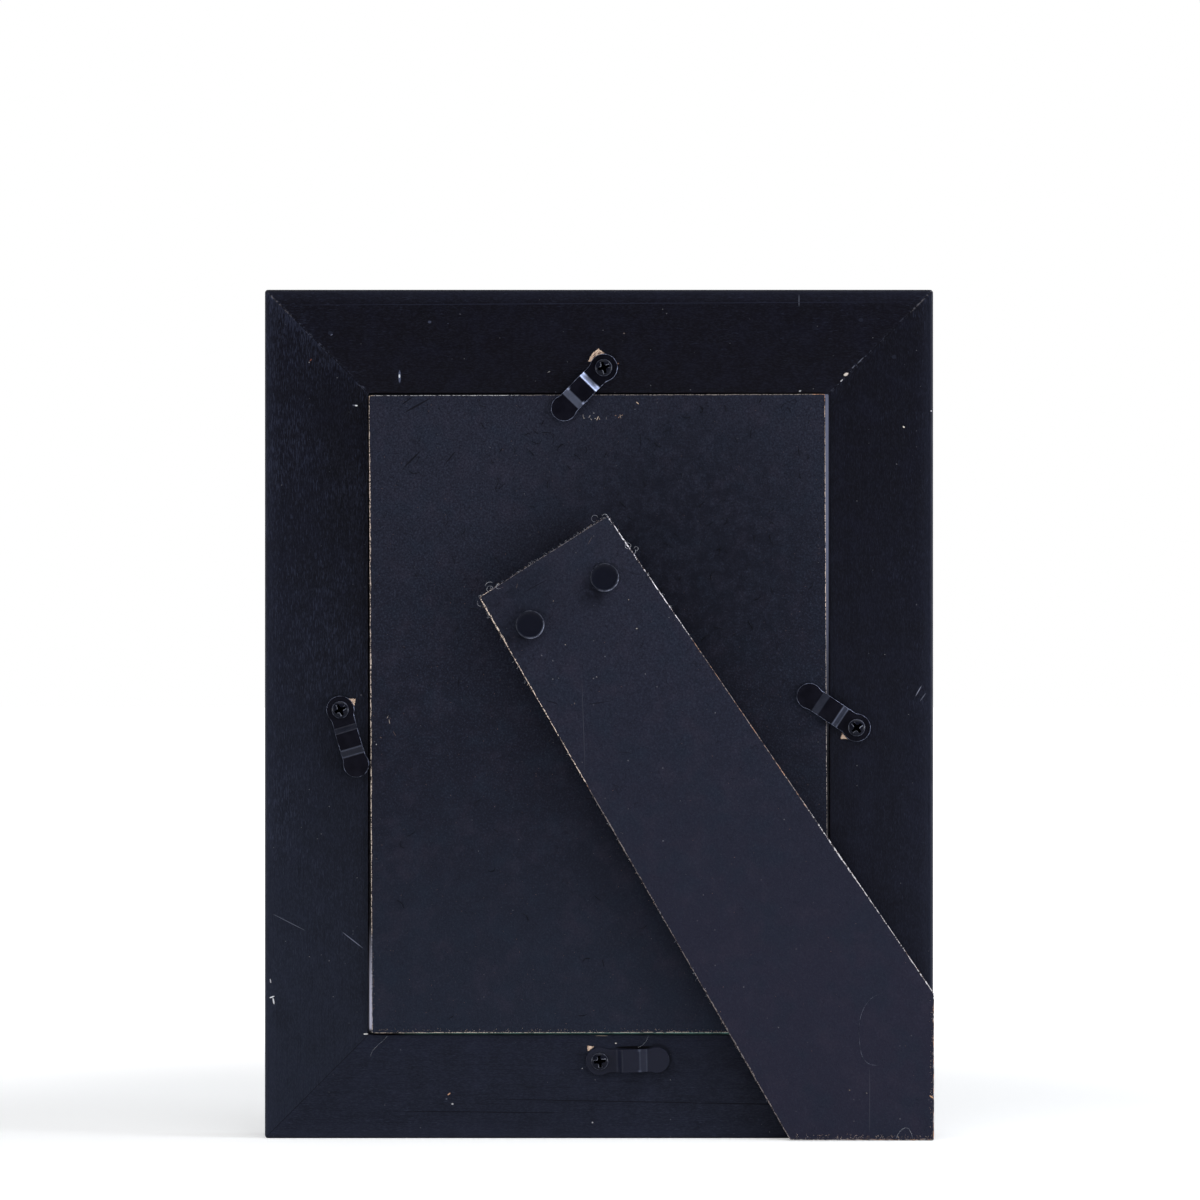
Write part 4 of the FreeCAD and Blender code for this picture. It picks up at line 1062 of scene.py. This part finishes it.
# Pale bare steel on the bends, set button by button to give each its bright bands: partly wear,
# partly painted highlight.
rub_and_highlight = most(rub_and_highlight, plus(bend_value, times(ragged, bend_value)), clamp=True)
black = blend(ramp(noise(place, 300, 3, 0.5), 0.3, 0.7), (13, 13, 21), (20, 20, 29))
level = split(place)["Z"]
# The bottom button's flats are lighter: a painted reflection of the light from below.
black = blend(ramp(level, 60 * MM, 35 * MM), black, (32, 34, 47))
skin = blend(rub_and_highlight, black, (188, 198, 232))
relief = bump(noise(place, 900), 0.08, 0.02)
rough = ramp(plus(rub_and_highlight, times(ragged, 0.3)), 0, 0.8, 0.2, 0.44)
end_with(principled(skin, rough, Metallic=rub_and_highlight, Normal=relief, Specular_IOR_Level=0.1))
print("finish:", enamel.name)

# %% Four buttons at their pivots
# Each has its pivot's X and Z in mm, its angle in degrees, the rubbing of its rise and its fall
# as bend_rub_and_highlight takes it, and the rubbing of its edges. The bends' amounts differ
# from button to button with the light each gets: partly wear, partly painted highlight.
BUTTONS = {
    "top": (1.3, 215.8, 225.7, (0.9, 0.9, 0.9, 0), (0.17, 0.17, 0, 0.8), 0.84),
    "right": (72.1, 115.05, 146.2, (0.06, 0.2, 0.3, 0), (0.05, 0.05, 0, 0), 0.8),
    "bottom": (0.2, 21.7, 1.4, (0, 0.02, 0, 0), (0.01, 0.05, 0, 0.1), 0.42),
    "left": (-72.4, 120.05, 286.4, (0.03, 0.04, 0.5, 0), (0.03, 0.12, 0, 0), 0.76),
}
on_top = np.isclose(tall - lift(along), STRIP, atol=0.05)


def bend_rub_and_highlight(start, end, flat, creases, fade, glint):
    """Rubbing and painted highlight on a bend: even between its two creases, less towards the head
    in the strip's middle by the fade, another amount along the creases, and a painted glint where
    the first meets the edges."""
    stops = [start - 0.2, start + 0.1, end - 0.1, end + 0.1]
    level = np.interp(along, stops, [0, flat, flat, 0])
    middle = 1 - np.clip(np.abs(across) / 2.7, 0, 1) ** 4
    for crease in (start + 0.05, end - 0.05):
        level = level + (creases - flat) * np.exp(-(((along - crease) / 0.16) ** 2))
    level = level * (1 - fade * middle * (1 - np.clip((along - start) / (end - start), 0, 1)))
    corner = glint * np.exp(-(((along - start) / 0.4) ** 2)) * (np.abs(across) > 2.7)
    return np.maximum(level, corner) * on_top


for side, (x, z, angle, rise, fall, rubbing) in BUTTONS.items():
    c, s = math.cos(math.radians(angle)), math.sin(math.radians(angle))
    turned_x, turned_z = x + along * c - across * s, z + along * s + across * c
    points = np.stack([turned_x, BACK_FACE / MM - tall, turned_z], axis=-1) * MM
    faces = ring_faces(*along.shape)
    bends = bend_rub_and_highlight(*RISE, *rise) + bend_rub_and_highlight(*FALL, *fall)
    values = {"worn": worn * rubbing, "bend": bends}
    name, body, node = f"button_{side}", f"{side}_button", f"turn_button_{side}"
    button = new_piece(name, points, faces, enamel, body, [node], values, crease=60)

# %% [markdown]
# ## Screws and rivets
# A cross-head screw is a turned piece with a cross pressed into its dome. Here the dome is a
# round grid whose height drops inside the cross, which keeps the pressed edges soft. The two
# rivets are turned as well, flat and slightly dished. Black wears off along their rims. The
# rivets' rims carry a painted highlight at the lower right, and the screws' crosses carry
# painted glints on their edges and painted shade inside.

# %% Worn black steel, with painted glints and painted shade
black_steel, place = new_material("black_steel_wear_and_sheen")
rim = painted("rim", black_steel)
patchy = ramp(noise(place, 900), 0.35, 0.65, 0.15, 0.75)
rub_and_highlight = times(rim, patchy, clamp=True)
# Near-black inside the cross: painted shade in the recess.
recess_shade = painted("recess_shade", black_steel)
skin = blend(rub_and_highlight, (19, 21, 32), (170, 176, 200))
skin = blend(recess_shade, skin, (2, 2, 4))
# Pale painted glints along the cross's edges.
lip_glint = painted("lip_glint", black_steel)
skin = blend(times(lip_glint, patchy, clamp=True), skin, (196, 200, 216))
bare_metal = most(rub_and_highlight, recess_shade)
relief = bump(noise(place, 700), 0.1, 0.02)
rough = ramp(most(recess_shade, 0.1), 0, 1, 0.24, 0.7)
metal = principled(skin, rough, Metallic=bare_metal, Normal=relief, Specular_IOR_Level=0.12)
end_with(metal)
print("finish:", black_steel.name)

# %% Cross-head screws
HEAD, RIM_HEIGHT, DOME = 2.4, 0.35, 0.6
SHANK, SHANK_END, POINT = 1.1, -7, -9
CROSS_HALF, SLOT_HALF, CROSS_DEPTH = 1.6, 0.4, 0.7
SCREW_SEAT = BACK_FACE / MM - 1
CROSS_TURNS = {"top": 18, "right": 38, "bottom": 8, "left": 27}


def screw_surface(turn):
    """Radius and angle grid: a dome less a cross, then the rim, the shank and the point. Inside
    the cross the smaller of the two turned coordinates is under the slot's half width."""
    steps = 46
    inner = np.linspace(0, HEAD - 0.12, steps)
    dome = RIM_HEIGHT + DOME * (1 - (inner / HEAD) ** 4)
    radius = np.append(inner, [HEAD - 0.05, HEAD, HEAD, HEAD, SHANK, SHANK, 0])
    rim = [RIM_HEIGHT + 0.02, RIM_HEIGHT - 0.05, 0.04, 0]
    height = np.concatenate([dome, rim, [0, SHANK_END, POINT]])
    angle = np.arange(176) / 176 * 2 * math.pi
    p = np.abs(radius[:, None] * np.cos(angle - turn))
    q = np.abs(radius[:, None] * np.sin(angle - turn))
    long, short = np.maximum(p, q), np.minimum(p, q)
    hub = SLOT_HALF + 0.3 * np.clip(1 - long / 0.9, 0, 1)
    side = np.clip((hub - short) / 0.07 + 0.5, 0, 1)
    end = np.clip((CROSS_HALF - long) / 0.08 + 0.5, 0, 1)
    pressed = (side * end) * (np.arange(len(radius)) < steps)[:, None]
    level = height[:, None] - pressed * CROSS_DEPTH * (1 - 0.45 * long / CROSS_HALF)
    outer = np.exp(-(((radius - HEAD + 0.06) / 0.1) ** 2)) * (height > 0.1)
    rim = np.broadcast_to(0.35 * outer[:, None], level.shape)
    # Painted glints: a pale band on the cross's edges, on some sides only.
    lip_glint = np.exp(-(((hub - short + 0.07) / 0.08) ** 2)) * (np.sin(3 * angle + turn) > 0.1)
    lip_glint = lip_glint * (long < CROSS_HALF + 0.1) * (radius < HEAD - 0.3)[:, None]
    # How deep a point lies in the cross: painted shade there.
    recess_shade = np.clip(pressed * 2 - 0.6, 0, 1)
    x, z = radius[:, None] * np.cos(angle), radius[:, None] * np.sin(angle)
    return x, z, level, {"rim": rim, "recess_shade": recess_shade, "lip_glint": lip_glint}


for side, (x, z, *_) in BUTTONS.items():
    turn = math.radians(CROSS_TURNS[side])
    across_x, across_z, level, values = screw_surface(turn)
    points = np.stack([x + across_x, SCREW_SEAT - level, z + across_z], axis=-1) * MM
    faces = ring_faces(*level.shape)
    node = f"turn_button_screw_{side}"
    screw = new_piece(f"screw_{side}", points, faces, black_steel, "frame", [node], values)

# %% Flat rivets
RIVET_PROFILE = np.array([
    (0, 0.8), (1.5, 0.79), (2.8, 0.79), (3.3, 0.82), (3.55, 0.88), (3.7, 0.9), (3.85, 0.85),
    (3.97, 0.72), (4.05, 0.45), (4.05, 0), (1.5, 0), (1.5, -3.3), (2.4, -3.3), (2.4, -3.8),
    (0, -3.8),
]) * MM
RIVET_RIM = np.array([0, 0, 0, 0, 0.05, 0.16, 0.4, 0.4, 0.05, 0, 0, 0, 0, 0, 0])
RIVETS = {"left": (-19.22, 143.94), "right": (1.58, 157.08)}


def turned_piece(profile, middle, seat, steps=96):
    """A profile of radius and height spun about a line along Y through a middle point."""
    angle = np.arange(steps) / steps * 2 * math.pi
    x = middle[0] + profile[:, :1] * np.cos(angle)
    z = middle[1] + profile[:, :1] * np.sin(angle)
    return np.stack([x, np.broadcast_to(seat - profile[:, 1:], x.shape), z], axis=-1)


for side, middle in RIVETS.items():
    points = turned_piece(RIVET_PROFILE, np.array(middle) * MM, leg_low.y)
    faces = ring_faces(*points.shape[:2])
    turn = np.arange(points.shape[1]) / points.shape[1] * 2 * math.pi
    # Brightest at the lower right: a painted highlight on the rim, from the light there.
    lit = np.maximum(np.cos(turn + math.radians(50)), 0)
    values = {"rim": RIVET_RIM[:, None] * (0.35 + 2.4 * lit**1.5)}
    node = f"strut_rivet_{side}"
    rivet = new_piece(f"rivet_{side}", points, faces, black_steel, "strut", [node], values)

# %% [markdown]
# ## Glass, paper and the hidden metal
# The pane is clear float glass; only its ground edge shows, as a green or white line in the gap
# beside the board. That line is painted light: the edge glows with tones set place by place.
# The paper is a bare sheet. The hinge and its rivets, seen when the leg is open, and the mitre
# nails are zinc plated steel.

# %% Clear glass
clear_glass, place = new_material("clear_glass")
smear = ramp(noise(place, 35, 4, 0.6), 0.45, 0.75, 0.01, 0.05)
pane = principled((0.97, 0.995, 0.98, 1), smear, Transmission_Weight=1, IOR=1.5)
glass_tree = clear_glass.node_tree
lamp_ray = put("LightPath", tree=glass_tree).outputs["Is Shadow Ray"]
open_way = put("BsdfTransparent", {"Color": (0.86, 0.94, 0.9, 1)}, tree=glass_tree)
end_with(put("MixShader", {0: lamp_ray, 1: pane.outputs[0], 2: open_way.outputs[0]}))
finish_node("glass_pane", clear_glass)
print("finish:", clear_glass.name)

# %% The glass's ground edge


def sheet_rings(low, high, inset, section):
    """Rings round a box's upright rectangle, less an inset, for a section of insets and levels."""
    left, right, under, over = low.x + inset, high.x - inset, low.z + inset, high.z - inset
    corners = [(left, under), (right, under), (right, over), (left, over)]
    outlines = [inset_outline(corners, 0.3 * MM, step, 2 * MM)[0] for step, _ in section]
    levels = [level for _, level in section]
    return np.array([np.insert(o, 1, level, axis=1) for o, level in zip(outlines, levels)])


ground_glass, place = new_material("ground_glass_edge")
parts = split(place)
chipped = noise(place, 500, 4, 0.7)
# The edge glows with these tones: painted light. It is dark on most of the left side, pale low on
# the left and high on the right, and green along the foot.
on_right = ramp(parts["X"], -1 * MM, 1 * MM)
right_tone = blend(ramp(parts["Z"], 105 * MM, 148 * MM), (14, 15, 20), (64, 67, 82))
side_tone = blend(on_right, (5, 5, 8), right_tone)
high_right = times(ramp(parts["Z"], 130 * MM, 170 * MM), on_right)
side_tone = blend(high_right, side_tone, (88, 93, 114))
low_left = times(ramp(parts["Z"], 62 * MM, 36 * MM), ramp(parts["X"], 1 * MM, -1 * MM))
side_tone = blend(low_left, side_tone, (150, 150, 166))
bottom_tone = blend(ramp(chipped, 0.4, 0.66), (72, 104, 100), (46, 64, 64))
bottom_tone = blend(ramp(parts["X"], -50 * MM, -58 * MM), bottom_tone, (8, 9, 12))
tone = blend(ramp(parts["Z"], 29.8 * MM, 31 * MM), bottom_tone, side_tone)
# Darker along the top, left of the right end: painted shade.
under_rail = times(ramp(parts["Z"], 206 * MM, 208 * MM), ramp(parts["X"], 63 * MM, 62 * MM))
tone = blend(under_rail, tone, (14, 15, 20))
rough = ramp(chipped, 0.3, 0.7, 0.25, 0.6)
end_with(principled(tone, rough, Emission_Color=tone, Emission_Strength=1))

SKIN, GROUND = 0.02 * MM, 0.8 * MM
low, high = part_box("glass_pane")
back, front = low.y - SKIN, high.y + SKIN
section = [(-SKIN, back), (-SKIN, front), (GROUND, front), (GROUND, back), (-SKIN, back)]
points = sheet_rings(low, high, 0, section)
faces = ring_faces(*points.shape[:2])
ground_edge = new_piece("glass_ground_edge", points, faces, ground_glass, "frame")

# %% The sheet
bare_paper, place = new_material("bare_paper")
fibres = noise(place, 900)
white = blend(fibres, (236, 235, 230), (247, 246, 243))
end_with(principled(white, 0.8, Normal=bump(fibres, 0.1, 0.02)))
low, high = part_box("print_sheet")
back, front = low.y + SKIN, high.y - 0.05 * MM
section = [(5 * MM, front), (0, front), (0, back), (5 * MM, back)]
points = sheet_rings(low, high, 0.7 * MM, section)
faces = capped(*points.shape[:2])
sheet = new_piece("print_paper", points, faces, bare_paper, "frame", ["print_sheet"])

# %% Plated steel
HINGE_SLANT = math.radians(32.3)
plated, place = new_material("plated_steel")
spangle = put("TexVoronoi", {"Vector": place, "Scale": 420}).outputs["Distance"]
tint = blend(ramp(spangle, 0.1, 0.6), (178, 181, 186), (205, 207, 209))
lines = noise(stretched(place, HINGE_SLANT, (300, 4200, 4200)), 1, 2, 0.5)
tint = blend(ramp(noise(place, 180, 4, 0.7), 0.62, 0.8), tint, (110, 106, 104))
rough = ramp(lines, 0.3, 0.7, 0.24, 0.42)
end_with(principled(tint, rough, Metallic=1, Normal=bump(lines, 0.2, 0.02)))
plated_names = ("hinge_", "board_rivet_", "mitre_nail_")
steel_nodes = [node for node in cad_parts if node.startswith(plated_names)]
for node in steel_nodes:
    finish_node(node, plated)
print("plated nodes:", len(steel_nodes))

# %% [markdown]
# ## Loose fibres and hairs
# The sawn edges of the leg and board shed fibres, and lint clings to the black faces. Each one
# is a very thin tapering tube along a curling line. A particle system would scatter them too,
# but drawn lines can be thick where the picture shows fuzz and absent where it is clean.

# %% Tubes along curling lines


def curled(starts, headings, lengths, bends, steps=9):
    """Lines that start at given X, Z points: the heading turns evenly from heading to heading +
    bend along each, and the steps add up to its length."""
    angle = headings[:, None] + bends[:, None] * np.linspace(0, 1, steps)
    stride = (lengths / (steps - 1))[:, None, None]
    step = np.stack([np.cos(angle), np.sin(angle)], axis=-1) * stride
    return starts[:, None, :] + np.cumsum(step, axis=1) - step[:, :1]


def tubes(lines, radii, sides=4):
    """Points and faces of tubes along lines of shape (count, steps, 3): rings square to each
    line, full in the middle and drawn to a point at both ends."""
    count, steps, _ = lines.shape
    run = np.gradient(lines, axis=1)
    run /= np.linalg.norm(run, axis=-1, keepdims=True)
    first = np.cross(run, np.array([0, 1, 0]))
    first /= np.linalg.norm(first, axis=-1, keepdims=True)
    second = np.cross(run, first)
    taper = np.clip(np.sin(np.linspace(0, math.pi, steps)) * 4, 0, 1)
    taper[0] = taper[-1] = 0
    angle = np.arange(sides) / sides * 2 * math.pi
    ring = first[:, :, None] * np.cos(angle)[:, None] + second[:, :, None] * np.sin(angle)[:, None]
    points = lines[:, :, None] + ring * (radii[:, None] * taper)[:, :, None, None]
    one = ring_faces(steps, sides)
    faces = (one[None] + (np.arange(count) * steps * sides)[:, None, None]).reshape(-1, 4)
    return points, faces


def thread_finish(name, dark, pale):
    """Fibre colour, from dark to pale along each strand."""
    material, place = new_material(name)
    tone = blend(ramp(noise(place, 500, 2, 0.5), 0.35, 0.65), dark, pale)
    end_with(principled(tone, 0.8, Specular_IOR_Level=0.1))
    return material


tan_thread = thread_finish("tan_thread", (158, 132, 114), (230, 210, 192))
pale_thread = thread_finish("pale_thread", (130, 134, 148), (205, 208, 216))
dark_thread = thread_finish("dark_thread", (10, 10, 15), (24, 25, 33))
lint = thread_finish("lint", (46, 50, 64), (128, 134, 152))
print("threads: 4")

# %% Fuzz along the leg's edges
FUZZ_RANDOM = np.random.default_rng(23)
LEAN, CURL = 0.9, 1.6


def fuzz(name, body, depth, finish, edges, radius=0.028):
    """Fibres along straight edges. An edge is (start, end, how many, longest), in mm, with starts
    spread at random, headings round the outward normal, and both signs of curl. None goes past
    the frame's outline."""
    lines, radii = [], []
    for start, end, count, longest in edges:
        start, end = np.array(start), np.array(end)
        run = (end - start) / np.linalg.norm(end - start)
        outward = math.atan2(-run[0], run[1])
        share = FUZZ_RANDOM.random(count)
        starts = start + (end - start) * share[:, None]
        headings = outward + FUZZ_RANDOM.normal(0, LEAN, count)
        lengths = longest * (0.15 + 0.85 * FUZZ_RANDOM.random(count) ** 2.5)
        bends = FUZZ_RANDOM.normal(0, CURL, count)
        flat = curled(starts, headings, lengths, bends)
        rise = np.linspace(0, 0.3, flat.shape[1])
        level = depth + FUZZ_RANDOM.uniform(0, 1.2, (count, 1)) - rise
        lines.append(np.stack([flat[..., 0], level, flat[..., 1]], axis=-1))
        radii.append(radius * FUZZ_RANDOM.uniform(0.5, 1.2, count))
    points, faces = tubes(np.concatenate(lines), np.concatenate(radii))
    low = np.array([-HALF_WIDTH, -1, 0.05 * MM]) / MM
    high = np.array([HALF_WIDTH - 0.05 * MM, 1, HEIGHT]) / MM
    new_piece(name, np.clip(points, low, high) * MM, faces, finish, body, crease=80)


foot, toe, heel = (53.5, 0.4), (93.2, 0.4), (93.2, 41)
top, shoulder = (2.2, 174.3), (-33.3, 151.6)
leg_back = leg_low.y / MM
fuzz(
    "leg_fuzz_tan", "strut", leg_back + 0.15, tan_thread,
    [
        (shoulder, foot, 300, 0.9),
        (foot, toe, 90, 0.6),
        (top, shoulder, 50, 0.6),
        (heel, top, 40, 0.4),
    ],
)
fuzz(
    "leg_fuzz_pale", "strut", leg_back + 0.1, pale_thread,
    [
        (shoulder, (-20, 128.4), 60, 1.4),
        (shoulder, foot, 170, 1.1),
        (top, shoulder, 120, 1),
        (heel, (20, 148.2), 40, 0.6),
        ((20, 148.2), top, 60, 1),
    ],
    radius=0.026,
)

# %% Curls and hairs


def loops(name, body, depth, finish, rows, radius=0.03):
    """Curls from (column, row, heading and bend in degrees, length in mm)."""
    numbers = np.array(rows, float)
    starts = np.array([at(column, row) for column, row in numbers[:, :2]]) / MM
    flat = curled(starts, np.radians(numbers[:, 2]), numbers[:, 4], np.radians(numbers[:, 3]), 24)
    level = np.broadcast_to(depth - np.linspace(0, 0.3, 24), flat.shape[:2])
    lines = np.stack([flat[..., 0], level, flat[..., 1]], axis=-1)
    points, faces = tubes(lines, np.full(len(rows), radius))
    new_piece(name, points * MM, faces, finish, body, crease=80)


def hairs(name, body, finish, face, radius, *drawn):
    """Hairs on a face: a polynomial runs through each one's picture points. A hair starts so many
    mm off the face, the number before its points, and ends 0.05 mm off it."""
    lines = []
    share = np.linspace(0, 1, 25)
    for start, *points in drawn:
        places = trail(*points) / MM
        knots = np.linspace(0, 1, len(places))
        degree = len(places) - 1
        x, z = (np.polyval(np.polyfit(knots, values, degree), share) for values in places.T)
        lines.append(np.stack([x, face - start + (start - 0.05) * share, z], axis=-1))
    points, faces = tubes(np.array(lines), np.full(len(lines), radius))
    new_piece(name, points * MM, faces, finish, body, crease=80)


loops(
    "leg_curls", "strut", leg_back + 0.1, pale_thread,
    [
        (630, 548, 40, 330, 4.6),
        (634, 549, 100, -300, 3),
        (631, 553, 300, 200, 2.4),
        (598, 518, 100, 280, 4.5),
        (602, 516, 60, -160, 2.6),
        (489, 592, 160, -260, 4),
        (501, 585, 120, 300, 3.6),
        (493, 583, 140, 120, 2.6),
        (482, 606, 200, -150, 2.4),
    ],
)
leg_hair = [
    (879, 993), (864, 1004), (858, 1024), (858.5, 1042), (862, 1056), (872, 1063), (879, 1061),
]
foot_hair = [
    (894.5, 1137.3), (897.5, 1130.6), (901, 1126.8), (905, 1125.6), (908.8, 1128.6),
    (911.4, 1137.3),
]
corner_hair = [(388.1, 1034.6), (381, 1042.5), (374, 1049), (370.6, 1057.5)]
sill_hair = [(648.2, 1035.7), (646.5, 1040.5), (642.5, 1045), (637.3, 1047.4)]
rail_back = BACK_FACE / MM
hairs("leg_hairs", "strut", lint, leg_back, 0.024, (0.05, *leg_hair))
hairs("foot_hair", "strut", pale_thread, leg_back, 0.022, (0.05, *foot_hair))
hairs("rail_hairs", "frame", pale_thread, rail_back, 0.019, (0.3, *corner_hair), (0.05, *sill_hair))

# %% Scattered fibres and creases
board_back = board_low.y / MM
SCATTER = np.random.default_rng(8)


def scattered(count, low, high, reach):
    """Random rows for loops: column, row, heading, bend and length within a picture window."""
    places = SCATTER.uniform(low, high, (count, 2))
    heading = SCATTER.uniform(0, 360, count)
    bend = SCATTER.normal(0, 60, count)
    length = reach * SCATTER.uniform(0.4, 1, count)
    return np.column_stack([places, heading, bend, length])


for name, count, low, high, reach, thread, radius in (
    ("board_fuzz", 170, (374, 1028.6), (735, 1032.6), 0.5, tan_thread, 0.015),
    ("board_side_fuzz", 34, (372.5, 950), (374.5, 1030), 0.4, tan_thread, 0.015),
    ("foot_fuzz", 120, (792, 1132.6), (931, 1137), 0.5, tan_thread, 0.018),
    ("heel_fuzz", 70, (928.6, 996), (932.2, 1134), 0.4, tan_thread, 0.018),
    ("board_creases", 60, (376, 400), (822, 1028), 3.6, dark_thread, 0.07),
    ("board_darkening", 70, (470, 402), (815, 620), 3.2, dark_thread, 0.08),
    ("leg_creases", 9, (520, 640), (640, 800), 3.6, dark_thread, 0.04),
):
    body, face = ("frame", board_back) if name.startswith("board") else ("strut", leg_back)
    loops(name, body, face - 0.01, thread, scattered(count, low, high, reach), radius)

# %% [markdown]
# ## Finish
# The dressed frame must stay the size of the imported one, whose box is printed here, in mm.

# %% Print the imported box
bpy.context.view_layer.update()
print("packed:", np.round(np.array(cad_box) / MM, 2).tolist())
